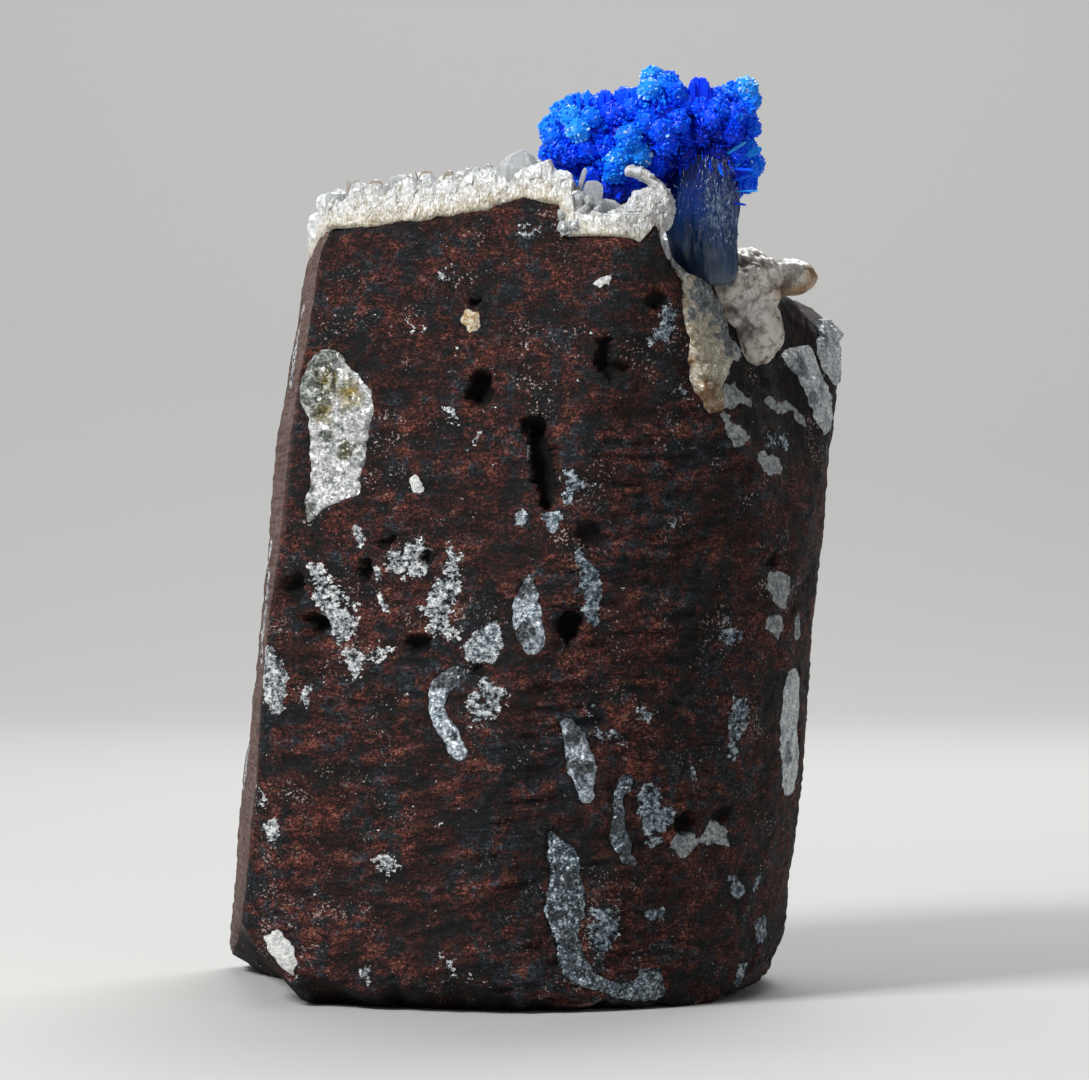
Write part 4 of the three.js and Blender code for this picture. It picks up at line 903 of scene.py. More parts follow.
def crystals(foot, direction, spin, width, thickness, length, section, profile, skew=0.0):
    """Many closed prisms at once, as points, faces and each point's share of its crystal's length, a
    row for each crystal. A point is foot + direction length share + (side x width + across y
    thickness) size, for each (share, size) of the profile and (x, y) of the section; the last
    point is the tip, which lies a share `skew` of the width off the axis."""
    count, corners, levels = len(foot), len(section), len(profile)
    direction = unit(direction)
    helper = np.where(np.abs(direction[:, 2:]) < 0.8, [[0.0, 0.0, 1.0]], [[1.0, 0.0, 0.0]])
    first = unit(np.cross(helper, direction))
    second = np.cross(direction, first)
    side = first * np.cos(spin)[:, None] + second * np.sin(spin)[:, None]
    across = second * np.cos(spin)[:, None] - first * np.sin(spin)[:, None]
    x, y = (np.array(section, float).T)[:, None, None, :, None]
    share, size = (np.array(profile, float).T)[:, None, :, None, None]
    axis = foot[:, None, None] + direction[:, None, None] * share * length[:, None, None, None]
    rings = axis + size * (side[:, None, None] * x * width[:, None, None, None]
                           + across[:, None, None] * y * thickness[:, None, None, None])
    tips = foot + direction * length[:, None] + side * (skew * width)[:, None]
    points = np.concatenate([rings.reshape(count, -1, 3), tips[:, None]], axis=1)
    shares = np.append(np.repeat([share for share, size in profile], corners), 1.0)
    tip, last = levels * corners, (levels - 1) * corners
    faces = [list(range(corners - 1, -1, -1))]
    for low in range(0, last, corners):
        faces += [[low + corner, low + (corner + 1) % corners, low + corners + (corner + 1) % corners,
                   low + corners + corner] for corner in range(corners)]
    faces += [[last + corner, last + (corner + 1) % corners, tip] for corner in range(corners)]
    starts = np.arange(count)[:, None] * (tip + 1)
    faces = [row for face in faces for row in (starts + face).tolist()]
    return points.reshape(-1, 3), faces, np.tile(shares, (count, 1))


def spread(count):
    """Directions spread evenly over a ball: levels in equal steps, each turned by the golden angle."""
    level = 1 - 2 * (np.arange(count) + 0.5) / count
    turn = np.arange(count) * math.pi * (3 - math.sqrt(5))
    flat = np.sqrt(1 - level * level)
    return np.stack([flat * np.cos(turn), flat * np.sin(turn), level], axis=-1)


def joined(*bodies):
    """Points, faces and fields of several bodies as one mesh: each is turned outwards, and its faces
    count on from the points before. A field is a number at every point or one for the body."""
    points, faces, fields, before = [], [], {}, 0
    for body_points, body_faces, body_fields in bodies:
        faces += [[corner + before for corner in face] for face in turned_out(body_points, body_faces)]
        for name, values in body_fields.items():
            fields.setdefault(name, []).append(np.broadcast_to(np.ravel(values), len(body_points)))
        points.append(body_points)
        before += len(body_points)
    return np.concatenate(points), faces, {name: np.concatenate(values) for name, values in fields.items()}


def inside_lobes(spots, scale):
    """Whether each spot lies inside one of the lobes, scaled about its centre."""
    return np.any([np.sum(((spots - centre) / (scale * np.array(radii))) ** 2, axis=-1) < 1
                   for centre, radii in CLUSTER_LOBES], axis=0)


# Knobs sit on the front of the lobes behind them; more of them fill the rest of the lobes.
knobs = []
for x, z, radius, light in KNOBS:
    fronts = [-18.8]
    for (cx, cy, cz), (rx, ry, rz) in CLUSTER_LOBES:
        left = 1 - ((x - cx) / rx) ** 2 - ((z - cz) / rz) ** 2
        fronts.append(cy - ry * math.sqrt(left) if left > 0 else 0)
    knobs.append((x, min(fronts) + 0.2 * radius, z, radius, light))
for (cx, cy, cz), (rx, ry, rz) in CLUSTER_LOBES[:7]:
    for dx, dy, dz in spread(26):
        spot = np.array([cx + rx * dx, cy + ry * dy, cz + rz * dz])
        close = min(np.linalg.norm(spot - knob[:3]) for knob in knobs) < 1.2
        if dy > -0.45 and not close and not inside_lobes(spot, 0.84):
            middle = spot - [0, 0, 0.4 * max(dz, 0)]
            knobs.append((*middle, 0.9 + 0.3 * dice.random(), 0.3 + 0.45 * dice.random()))
knobs = np.array(knobs)

# Tufts: stubby blades half sunk in each knob, but few towards the inside of the cluster.
cluster_middle = np.array([14.5, -17.5, 84.0])
which = np.repeat(np.arange(len(knobs)), (96 * knobs[:, 3] ** 2 + 24).astype(int))
tuft_centre, tuft_radius, tuft_light = knobs[which, :3], knobs[which, 3], knobs[which, 4]
pointing = unit(dice.normal(size=(len(which), 3)))
kept = np.sum(pointing * unit(tuft_centre - cluster_middle), axis=1) > -0.3
tuft_centre, tuft_radius, tuft_light, pointing = (
    values[kept] for values in (tuft_centre, tuft_radius, tuft_light, pointing))
tuft_foot = tuft_centre + pointing * (tuft_radius * 0.6)[:, None]
tuft_length = 0.4 * tuft_radius + dice.uniform(0.0, 0.26, len(pointing))
tuft_axis = pointing + 0.3 * dice.normal(size=pointing.shape)

# Lawn: single blades all over the lobes, as light as the knob nearest to them, painted light and shade
# included.
LAWN_BLADES = 540  # tried on each lobe; those inside another lobe are left out
lawn_foot, lawn_axis = [], []
for centre, radii in CLUSTER_LOBES:
    axis = unit(dice.normal(size=(LAWN_BLADES, 3)))
    spot = centre + axis * radii * 0.93
    open_spot = ~inside_lobes(spot, 0.86)
    lawn_foot.append(spot[open_spot])
    lawn_axis.append((axis / radii)[open_spot])
lawn_foot = np.concatenate(lawn_foot)
lawn_axis = unit(np.concatenate(lawn_axis)) + 0.5 * dice.normal(size=lawn_foot.shape)
nearest = np.argmin(np.linalg.norm(lawn_foot[:, None] - knobs[None, :, :3], axis=2), axis=1)
lawn_light = 0.75 * knobs[nearest, 4]

# Roots: thin blades that hang from the cluster over the head of the clear column.
ROOTS = 260
turn = dice.uniform(0, 2 * np.pi, ROOTS)
root_foot = np.stack([19.6 + 3.0 * np.cos(turn), -18.8 + 2.7 * np.sin(turn),
                      dice.uniform(82.5, 84.5, ROOTS)], -1)
root_axis = np.array([0, 0, -1]) + 0.25 * dice.normal(size=(ROOTS, 3))

foot = np.concatenate([tuft_foot, lawn_foot, root_foot])
axis = np.concatenate([tuft_axis, lawn_axis, root_axis])
light = np.concatenate([tuft_light, lawn_light, dice.uniform(0.1, 0.4, ROOTS)])
length = np.concatenate([tuft_length, dice.uniform(0.4, 0.9, len(lawn_foot)), dice.uniform(0.8, 2.2, ROOTS)])
count = len(foot)
width = dice.uniform(0.24, 0.58, count)
width[-ROOTS:] *= 0.5
RHOMB = [(0.5, 0), (0, 0.5), (-0.5, 0), (0, -0.5)]
blade_points, blade_faces, blade_share = crystals(
    foot, axis, dice.uniform(0, 2 * np.pi, count), width, width * dice.uniform(0.4, 0.8, count), length,
    RHOMB, [(0, 0.7), (0.8, 1.0)])
# A few blades at random are painted much paler, as glints.
glint = dice.random(count) < 0.02
light = light + 0.09 * dice.normal(size=count) + 0.5 * glint
blade_tone = np.clip(0.08 + 0.82 * light[:, None] + 0.14 * (blade_share - 0.6), 0, 1)

# The larger single crystals, and the bundles: upright blades side by side under a rounded head.
single_foot, single_axis, *sizes, single_light = (np.array(column, float) for column in zip(*SINGLES))
HEADS = 14
head_x, head_top, head_half, head_light = np.repeat(np.array(BUNDLES), HEADS, axis=0).T
aside, ahead = np.tile(np.linspace(-1, 1, HEADS), len(BUNDLES)), dice.uniform(-0.6, 0.6, len(head_x))
head_tip = head_top - 0.9 * head_half * aside ** 2 - 0.25 * dice.random(len(head_x))
head_foot = np.stack([head_x + 0.85 * aside * head_half, -21.0 + ahead * head_half, head_tip - 3.0], -1)
head_axis = np.array([0, 0, 1]) + 0.06 * dice.normal(size=head_foot.shape)
head_sizes = 0.55 * head_half + 0.2, 0.6 * head_half, np.full(len(head_x), 3.0)
head_light = head_light + dice.uniform(-0.1, 0.1, len(head_x))
single_foot, single_axis, single_light, *sizes = (
    np.concatenate(pair) for pair in ((single_foot, head_foot), (single_axis, head_axis),
                                      (single_light, head_light), *zip(sizes, head_sizes)))
COFFIN = [(0.5, 0), (0.3, 0.5), (-0.3, 0.5), (-0.5, 0), (-0.3, -0.5), (0.3, -0.5)]
single_points, single_faces, single_share = crystals(
    single_foot, single_axis, np.full(len(single_foot), np.pi / 2), *sizes, COFFIN,
    [(0, 0.85), (0.5, 1), (0.8, 0.94), (0.92, 0.72), (0.98, 0.35)])
single_tone = np.clip(0.06 + 0.8 * single_light[:, None] + 0.12 * (single_share - 0.5), 0, 1)

# The mass that they grow on: the lobes, and a lump for each knob.
lumps = [(centre, radii, 0.9, 30, 0.15) for centre, radii in CLUSTER_LOBES]
lumps += [(knob[:3], (knob[3],) * 3, 0.94, 14, knob[4]) for knob in knobs]
mass = []
for centre, radii, scale, columns, light in lumps:
    direction, reach, faces = lobed_body([(centre, radii)], centre, columns, columns // 2, 0.01)
    skin = centre + direction * (scale * reach)[:, None]
    skin += direction * (0.25 * noise(skin, 0.8, 81))[:, None]
    mass.append((skin, faces, {"tone": 0.04 + 0.75 * light}))
mass_points, mass_faces, mass_fields = joined(*mass)
add_piece("cavansite_mass", mass_points, mass_faces, cavansite, ["cavansite_cluster"], "cavansite",
          smooth=False, **mass_fields)
cluster_points, cluster_faces, cluster_fields = joined(
    (single_points, single_faces, {"tone": single_tone}), (blade_points, blade_faces, {"tone": blade_tone}))
add_piece("cavansite_blades", cluster_points, cluster_faces, cavansite, ["cavansite_cluster"], "cavansite",
          smooth=False, **cluster_fields)

# ---------------------------------------------------------------- clear column
# Many-sided clear crystal that carries the cluster. Its skin is see-through; its heart is clouded by
# the cavansite in it, deep blue at the head and slate at the foot. Fine white needles grow on its side.

# Height, middle across, middle in depth, half width and half depth.
CLEAR_COLUMN = [
    (70.4, 20.3, -18.6, 2.4, 1.9), (71.4, 20.2, -18.6, 3.0, 2.6), (72.8, 20.0, -18.6, 3.3, 2.9),
    (76.3, 19.5, -18.7, 3.6, 3.1), (79.6, 19.7, -18.8, 3.75, 3.3), (83.0, 19.9, -18.8, 3.6, 3.0),
]
COLUMN_SIDES = 9
# Clear and blue-tinged; its uneven growth faces bend the light that comes through.
clear_crystal, place = new_material("clear blue-tinged zeolite crystal")
bump = node(clear_crystal, "Bump", {}, {
    "Strength": 0.6, "Distance": 0.25 * MM, "Height": stretched_noise(clear_crystal, place, 0.6, 2.2)})
tint = node(clear_crystal, "VolumeAbsorption", {}, {"Color": "#7fa6dc", "Density": 60.0})
finish(clear_crystal, {"Base Color": "#dde6f2", "Roughness": 0.12, "IOR": 1.51, "Transmission Weight": 1.0,
                       "Normal": bump.outputs[0]}, Volume=tint.outputs[0])


def column_skin(height, turn, out):
    """Point of the column, or a share `out` of the way from its axis: a nine-sided outline, with
    reach cos(20) / cos(turn from the middle of a side), times the half width and half depth."""
    heights, middle_x, middle_y, half_width, half_depth = np.array(CLEAR_COLUMN).T
    from_side = (turn / (2 * np.pi) * COLUMN_SIDES - 0.3 + 0.5) % 1 - 0.5
    reach = out * np.cos(np.pi / COLUMN_SIDES) / np.cos(from_side * 2 * np.pi / COLUMN_SIDES)
    return np.stack(np.broadcast_arrays(
        np.interp(height, heights, middle_x) + reach * np.interp(height, heights, half_width) * np.cos(turn),
        np.interp(height, heights, middle_y) + reach * np.interp(height, heights, half_depth) * np.sin(turn),
        height), -1)


def column_body(ends, rings, columns, out, waves):
    """Closed body between two ends of the axis, a share `out` of the way out to the column's skin, plus
    a noise for each (cell size, height, seed) of the waves."""
    ends = np.array(ends)
    level = np.linspace(*ends[:, 2], rings)[:, None]
    turn = np.linspace(0, 2 * np.pi, columns, endpoint=False)[None]
    even = column_skin(level, turn, out)
    for cell, height, seed in waves:
        out = out + height * noise(even, cell, seed)
    skin = column_skin(level, turn, out)
    return np.concatenate([ends[:1], skin.reshape(-1, 3), ends[1:]]), ring_faces(rings, columns)


column_points, column_faces = column_body(
    [(20.3, -18.6, 70.4), (19.9, -18.8, 83.0)], 60, 126, 1.0,
    [((0.8, 0.8, 3.5), 0.045, 71), ((0.4, 0.4, 1.2), 0.02, 72)])
add_piece("clear_column_crystal", column_points, column_faces, clear_crystal, ["clear_column"],
          "clear_crystal", smooth=False)

# Heart: clouds of fine inclusions, which hide what lies behind them, and in them white flecks,
# thickest half way up.
clouded, place = new_material("zeolite clouded by cavansite")
haze = graded(clouded, [
    (0.2, "#6c7c8c"), (0.36, "#3f5f7e"), (0.52, "#1d4f86"), (0.68, "#064591"), (0.9, "#023c9c")],
    ("rise", 0.8), (stretched_noise(clouded, place, 1.2, 2.6, 4.0, 0.65), 0.5))
flecks = stretched_noise(clouded, place, 0.35, 0.8, 3.0, 0.8)
fleck_share = graded(clouded, rising(0.66, 0.8), ("veil", 0.25), (flecks, 1))
finish(clouded, {"Base Color": coats(clouded, haze, (fleck_share, "#b4c6d8")),
                 "Roughness": 0.6, "Specular IOR Level": 0.2})
heart_points, heart_faces = column_body(
    [(20.2, -18.6, 70.8), (19.9, -18.8, 82.8)], 40, 72, 0.84, [((1.1, 1.1, 2.6), 0.05, 74)])
across, height = heart_points[:, 0], heart_points[:, 2]
add_piece("clear_column_heart", heart_points, heart_faces, clouded, slot="clear_crystal",
          rise=(height - 70.8) / 12,
          veil=np.clip(1 - np.hypot((across - 21.2) / 3.2, (height - 78.0) / 4.5), 0, 1))

# Needles: blue at the foot, where the column shows through them, and white at the tip.
needle_look, _ = new_material("fine glassy needles")
fading = graded(needle_look, [(0.0, "#355789"), (0.5, "#7391b8"), (1.0, "#d3deea")], ("share", 1))
finish(needle_look, {"Base Color": fading, "Roughness": 0.2, "IOR": 1.5})
FRONT_NEEDLES, OTHER_NEEDLES = 260, 120
NEEDLES = FRONT_NEEDLES + OTHER_NEEDLES
needle_turn = np.concatenate([
    -0.8 + 0.55 * dice.normal(size=FRONT_NEEDLES), dice.uniform(0, 2 * np.pi, OTHER_NEEDLES)])
needle_foot = column_skin(
    82.4 - 8.4 * dice.random(NEEDLES) ** 1.4, needle_turn, dice.uniform(0.93, 1.02, NEEDLES))
needle_axis = np.array([0.08, 0, 1]) + 0.35 * dice.normal(size=(NEEDLES, 3))
needle_width = dice.uniform(0.05, 0.13, NEEDLES)
needle_points, needle_faces, needle_share = crystals(
    needle_foot, needle_axis, dice.uniform(0, 2 * np.pi, NEEDLES), needle_width, 0.7 * needle_width,
    dice.uniform(0.2, 0.75, NEEDLES), RHOMB, [(0, 0.8), (0.75, 1.0)])
add_piece("clear_column_needles", needle_points, needle_faces, needle_look, slot="clear_crystal",
          smooth=False, share=needle_share)

# ---------------------------------------------------------------- zeolite crust
# White stilbite and heulandite on the broken top. The drill cut it flush with the core, so its
# side is a wall of packed, sugary crystals; coffin-shaped, glassy tips stand along its crest.

SUMMIT_COVER = 2.6
CRUST_SHELF_REACH = 12.5
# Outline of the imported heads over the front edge, by x.
CREST = [
    (-19.0, 74.6), (-18.1, 75.0), (-17.86, 76.3), (-17.43, 77.3), (-17.26, 78.5), (-16.92, 79.0),
    (-16.4, 79.35), (-15.97, 79.1), (-15.63, 79.4), (-15.1, 79.35), (-14.95, 80.3), (-14.6, 80.6),
    (-14.17, 80.75), (-13.74, 80.65), (-13.42, 80.15), (-13.2, 80.45), (-12.8, 80.6), (-12.4, 80.55),
    (-12.15, 80.2), (-11.85, 79.75), (-11.4, 80.05), (-10.81, 80.4), (-10.3, 80.85), (-9.7, 81.05),
    (-9.0, 81.05), (-8.6, 80.8), (-8.3, 80.6), (-8.06, 81.35), (-7.8, 81.45), (-7.1, 81.3),
    (-6.75, 81.05), (-6.4, 80.7), (-6.0, 80.75), (-5.7, 81.05), (-5.1, 81.25), (-4.6, 81.1),
    (-4.1, 80.8), (-3.75, 81.1), (-3.4, 81.45), (-2.6, 81.55), (-2.4, 81.7), (-0.9, 81.85),
    (-0.4, 81.35), (0.2, 81.5), (1.0, 81.6), (2.4, 81.9), (3.4, 82.2), (3.8, 82.5), (4.4, 82.6),
    (5.1, 81.4), (6.1, 81.5), (6.7, 80.9), (6.95, 79.7), (7.2, 78.7), (8.0, 77.8), (10.0, 77.2),
    (13.0, 77.4), (16.0, 77.4), (19.0, 75.0),
]
# Clear heads along the crest: x, height of the tip, width, depth, length, how tan.
CREST_TIPS = [
    (-16.4, 79.55, 1.5, 1.5, 2.2, 0.0), (-15.6, 79.5, 0.7, 0.8, 2.4, 0.0),
    (-14.75, 80.65, 0.6, 0.9, 4.0, 0.5), (-14.0, 80.85, 0.95, 0.9, 4.0, 0.25),
    (-12.75, 80.75, 1.25, 1.1, 4.0, 0.7), (-11.2, 80.2, 0.9, 0.9, 3.4, 0.3),
    (-9.6, 81.2, 2.1, 1.8, 4.2, 0.0), (-10.5, 80.75, 0.9, 1.2, 3.0, 0.0),
    (-7.9, 81.55, 0.5, 1.0, 4.4, 0.2), (-7.3, 81.45, 1.3, 1.2, 4.4, 0.9),
    (-5.7, 81.15, 0.8, 0.9, 3.4, 0.4), (-5.0, 81.4, 1.0, 1.1, 4.0, 0.6),
    (-3.4, 81.6, 0.8, 0.9, 3.8, 0.1), (-2.6, 81.7, 0.8, 0.9, 4.0, 0.0),
    (-1.8, 81.95, 1.0, 1.0, 4.2, 0.1), (-0.9, 82.0, 0.9, 1.0, 4.4, 0.15),
    (0.2, 81.6, 0.9, 0.9, 3.8, 0.0),
]


def crust_material(name, dark_grit, facet_size, look):
    """Crystals of the crust: cream at the foot of the wall and greyer on top, whites and grit mixed by
    grains, near-white specks of painted sparkle, paler in clear crystals, browner in tan ones, with
    small facets."""
    made, place = new_material(name)
    mottle = stretched_noise(made, place, 0.9, 1.1, 4.0, 0.7)
    sugar = stretched_noise(made, place, 0.2, 0.42, 2.0, 0.7)
    creamy = graded(made, [
        (0.38, "#d4c5a8"), (0.52, "#dcd5c6"), (0.66, "#e2e1dd"), (0.84, "#d3d6d8"), (1.0, "#b4bbc0")],
        ("rise", 0.6), (mottle, 0.5), (sugar, 0.35))
    grit = graded(made, [(0.40, dark_grit), (0.5, "#e6e6e5"), (0.56, "#ffffff")], (sugar, 0.5), (mottle, 0.5))
    # Near-white specks where the sugar noise is high are painted sparkle.
    creamy = coats(made, creamy, (1.0, grit, "MULTIPLY"), ("clear", "#d0d6d9"),
                   (graded(made, rising(0.6, 0.67), (sugar, 1)), "#fbfaf8"), ("tan", "#d3b894", "MULTIPLY"))
    finish(made, {"Base Color": creamy, "IOR": 1.5, "Subsurface Radius": (1.0, 0.95, 0.85),
                  "Subsurface Scale": 0.4 * MM, "Normal": facets(made, place, facet_size, 0.16), **look})
    return made


# Packed crystals scatter the light like frost; the free tips are glassy and half clear.
frosty = crust_material("packed stilbite and heulandite", "#c4bfb6", 0.4, {
    "Roughness": 0.3, "Transmission Weight": 0.0, "Subsurface Weight": 0.45})
glassy = crust_material("glassy heulandite tips", "#dcdcdc", 1.0, {
    "Roughness": 0.08, "Transmission Weight": 0.4, "Subsurface Weight": 0.35})


def chips(points, size, seed):
    """Broken skin of crystal faces, about -0.5 to 0.5: each cell round a random centre is a plane with
    a level and a slope of its own, level + slope . (place - centre)."""
    place = points / size
    cell = np.floor(place).astype(np.int64)
    nearest = np.full(points.shape[:-1], 9.0)
    height = np.zeros(points.shape[:-1])
    for step in np.ndindex(3, 3, 3):
        home = cell + step - 1
        offset = place - home - 0.5 - 0.45 * np.stack([scatter(home, seed + axis) for axis in range(3)], -1)
        distance = np.sum(offset * offset, axis=-1)
        slope = np.stack([scatter(home, seed + 3 + axis) for axis in range(3)], -1)
        closer = distance < nearest
        nearest = np.where(closer, distance, nearest)
        height = np.where(closer, 0.3 * scatter(home, seed + 6) + 0.5 * np.sum(slope * offset, -1), height)
    return height


def crust_reach(angle):
    """How far the crust reaches from the axis: to the broken edge, but less over the notch."""
    edge = core_reach(angle, edge_height(TOP_EDGE, angle))
    turned = (angle + 180) % 360 - 180
    on_shelf = np.clip((turned + 68) / 4, 0, 1) * (1 - np.clip((turned - 44) / 18, 0, 1))
    return edge + (CRUST_SHELF_REACH - edge) * on_shelf


def bed_top(angle, distance):
    """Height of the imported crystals' upper side: 0.35 mm under the crest at the front edge, 0.9 mm
    lower behind it, and 3.2 mm over the rock along the other edges, easing to SUMMIT_COVER over
    the rock 8 mm further in."""
    rock = top_height(angle, np.minimum(1, distance / core_reach(angle, edge_height(TOP_EDGE, angle))))
    crest = np.interp(around_axis(angle, 78, distance)[..., 0], *zip(*CREST))
    turned = (angle + 180) % 360 - 180
    front = np.clip((turned + 142) / 10, 0, 1) * np.clip((-62 - turned) / 4, 0, 1)
    inset = crust_reach(angle) - distance
    rim = (crest - 0.35 - 0.9 * np.clip(inset - 0.8, 0, 1) - rock) * front + 3.2 * (1 - front)
    inwards = np.clip(inset / 8, 0, 1)
    return rock + rim + (SUMMIT_COVER - rim) * inwards


# Bed: a wall up from the rock's edge, flush with the core, then inwards over the top.
WALL_RINGS, BED_RINGS = 44, 26
angle = np.concatenate([
    np.linspace(-136, -62, 400, endpoint=False), np.linspace(-62, 224, 420, endpoint=False)])
COLUMNS = len(angle)
reach = crust_reach(angle)
edge = core_reach(angle, edge_height(TOP_EDGE, angle))
wall = np.linspace(0, 1, WALL_RINGS)[:, None]
wall_reach = reach - 0.45 * wall ** 7 - 0.5 * (1 - wall) ** 14
wall_foot = top_height(angle, np.minimum(1, reach / edge)) - 0.25
wall_points = around_axis(angle, wall_foot + (bed_top(angle, reach) - wall_foot) * wall, wall_reach)
share = np.linspace(1, 0.03, BED_RINGS)[1:, None]
bed_reach = (reach - 0.9) * share
bed_points = around_axis(angle, bed_top(angle, bed_reach), bed_reach)
outward = around_axis(angle, 0 * angle, 1 + 0 * angle) - around_axis(angle, 0 * angle, 0 * angle)
# The gaps between the heads run down the wall as valleys and fade out.
outline = np.interp(wall_points[..., 0], *zip(*CREST))
smooth_outline = np.mean([np.interp(wall_points[..., 0] + aside, *zip(*CREST))
                          for aside in (-1.6, -0.8, 0, 0.8, 1.6)], axis=0)
valleys = 0.9 * np.clip(smooth_outline - outline, -0.4, 0.6) * wall ** 3
relief = 0.26 * wall ** 0.5 * chips(wall_points, np.array([1.1, 1.1, 2.0]), 91)
relief = relief + 0.12 * chips(wall_points, 0.5, 101) + 0.05 * noise(wall_points, (0.25, 0.25, 0.5), 99)
relief = relief + 0.1 * noise(wall_points, 2.2, 95) - valleys
wall_points += outward * relief[..., None]
wall_points[..., 2] += 0.12 * noise(wall_points, 0.7, 96) * wall ** 4
bed_points[..., 2] += 0.8 * domes(bed_points, 1.8, 97) + 0.3 * domes(bed_points, 0.8, 98) - 0.6
bed_rings = np.concatenate([wall_points, bed_points])
poles = around_axis(np.zeros(2), np.array([SUMMIT_HEIGHT - 1.5, SUMMIT_HEIGHT + SUMMIT_COVER]), np.zeros(2))
bed_skin = np.concatenate([poles[:1], bed_rings.reshape(-1, 3), poles[1:]])
ring_rise = np.append(0.7 * wall.ravel() ** 0.8, np.full(BED_RINGS - 1, 0.6))
bed_rise = np.concatenate([[0], np.repeat(ring_rise, COLUMNS), [0.6]])

# White growth over the low edge beside the notch: lumps, and a curled plate that bends over them.
WHITE_MASS = [
    ((12.3, -25.9, 75.9), (3.0, 1.7, 1.7)), ((14.2, -25.2, 77.1), (2.1, 1.8, 2.4)),
    ((15.3, -24.6, 77.6), (1.35, 1.6, 2.3)), ((9.6, -26.5, 75.6), (2.2, 1.5, 1.3)),
]
GLASSY_LUMPS = [((7.6, -26.5, 76.6), (1.7, 1.2, 1.7)), ((6.3, -27.1, 75.5), (0.9, 0.8, 1.0))]
PLATE_LINE = [(11.9, 81.1), (12.7, 81.2), (13.6, 80.85), (14.5, 80.3), (15.3, 79.6), (15.8, 78.8),
              (15.9, 77.8), (15.7, 76.8)]


def curled_plate(line, half_thick, half_deep, depth, seed):
    """Plate that follows a line of (x, height), swept as an ellipse: half_thick across the line and
    half_deep in depth, both closing as sqrt(1 - t^8) towards the ends, and broken in small faces."""
    rings, columns = 60, 36
    line = np.array(line, float)
    along = np.linspace(0, len(line) - 1, rings)
    x, z = (np.interp(along, np.arange(len(line)), column) for column in line.T)
    run, rise = np.gradient(x), np.gradient(z)
    steep = np.hypot(run, rise)
    closing = np.sqrt(1 - (2 * along / (len(line) - 1) - 1) ** 8)
    closing[[0, -1]] = 0.15
    turn = np.linspace(0, 2 * np.pi, columns, endpoint=False)
    thick = (closing * half_thick)[:, None] * np.cos(turn)
    skin = np.stack([x[:, None] - rise[:, None] / steep[:, None] * thick,
                     depth + half_deep * closing[:, None] * np.sin(turn),
                     z[:, None] + run[:, None] / steep[:, None] * thick], -1)
    rough = 0.2 * noise(skin, (1.6, 0.5, 1.6), seed) + 0.4 * chips(skin, 0.7, seed + 1)
    skin += rough[..., None] * [0.5, -1, 0.7]
    ends = skin[[0, -1]].mean(axis=1)
    return np.concatenate([ends[:1], skin.reshape(-1, 3), ends[1:]]), ring_faces(rings, columns)


# Rows of packed crystals over the bed: from angle, to angle, inset from the edge, spacing, width and
# height over the bed.
rows = [(-131, -66, inset, spacing, width, height) for inset, spacing, width, height in (
    (1.3, 0.8, 1.3, 0.3), (2.2, 1.1, 1.5, 0.7), (3.4, 1.3, 1.6, 1.0))]
rows += [(-62, 226, inset, spacing, width, height) for inset, spacing, width, height in (
    (0.8, 0.8, 1.2, 0.6), (1.6, 1.2, 1.6, 1.0))]
rows += [(-125, 232, inset, 1.5, 1.9, 1.3) for inset in np.arange(3.5, 29, 1.7)]
SUNK = 1.2  # how deep their feet lie in the bed
OVERLAP = 1.15  # how much wider they are than listed, so that neighbours touch
feet, axes, widths, lengths = [], [], [], []
for start, end, inset, spacing, width, height in rows:
    step = np.degrees(spacing / max(3.0, CORE_RADIUS - inset))
    row_angle = np.arange(start, end, step)
    row_angle = row_angle + 0.4 * step * dice.normal(size=len(row_angle))
    distance = crust_reach(row_angle) - inset + 0.25 * spacing * dice.normal(size=len(row_angle))
    row_angle, distance = row_angle[distance > 1], distance[distance > 1]
    size = np.clip(1 + 0.35 * dice.normal(size=len(row_angle)), 0.5, 1.5)
    feet.append(around_axis(row_angle, bed_top(row_angle, distance) - SUNK, distance))
    lengths.append(SUNK + height * size)
    widths.append(OVERLAP * width * size)
    tilt = 0.14 if inset < 1.5 else 0.42
    axes.append(np.array([0, 0, 1]) + tilt * dice.normal(size=(len(row_angle), 3)))
feet, axes, widths, lengths = (np.concatenate(values) for values in (feet, axes, widths, lengths))
free = ~inside_lobes(feet + unit(axes) * lengths[:, None], 1.12)
feet, axes, widths, lengths = feet[free], axes[free], widths[free], lengths[free]
DOME = [(0, 0.8), (0.66, 1.0), (0.88, 0.74), (0.98, 0.34)]
packed_points, packed_faces, packed_share = crystals(
    feet, axes, dice.uniform(0, np.pi, len(feet)), widths, widths * dice.uniform(0.3, 0.62, len(feet)),
    lengths, COFFIN, DOME, dice.uniform(-0.25, 0.25, len(feet)))
packed_rise = 0.3 + 0.35 * packed_share + dice.uniform(-0.15, 0.25, len(feet))[:, None]
packed_clear = 0.7 * np.clip(dice.uniform(-1.2, 1.0, len(feet)), 0, 1)[:, None] + 0 * packed_share
white_start = np.array([13.4, -25.2, 76.4])
direction, reach, white_mass_faces = lobed_body(WHITE_MASS, white_start, columns=170, rings=100, softness=0.3)
white_mass = white_start + direction * reach[:, None]
white_mass += direction * (0.6 * chips(white_mass, 1.1, 131) + 0.3 * chips(white_mass, 0.45, 141))[:, None]
plain = {"tan": 0, "clear": 0}
white_points, white_faces, white_fields = joined(
    (bed_skin, ring_faces(len(bed_rings), COLUMNS), {"rise": bed_rise, **plain}),
    (white_mass, white_mass_faces, {"rise": 0.62, **plain}),
    (*curled_plate(PLATE_LINE, 0.55, 1.4, -25.1, 105), {"rise": 0.62, **plain}))
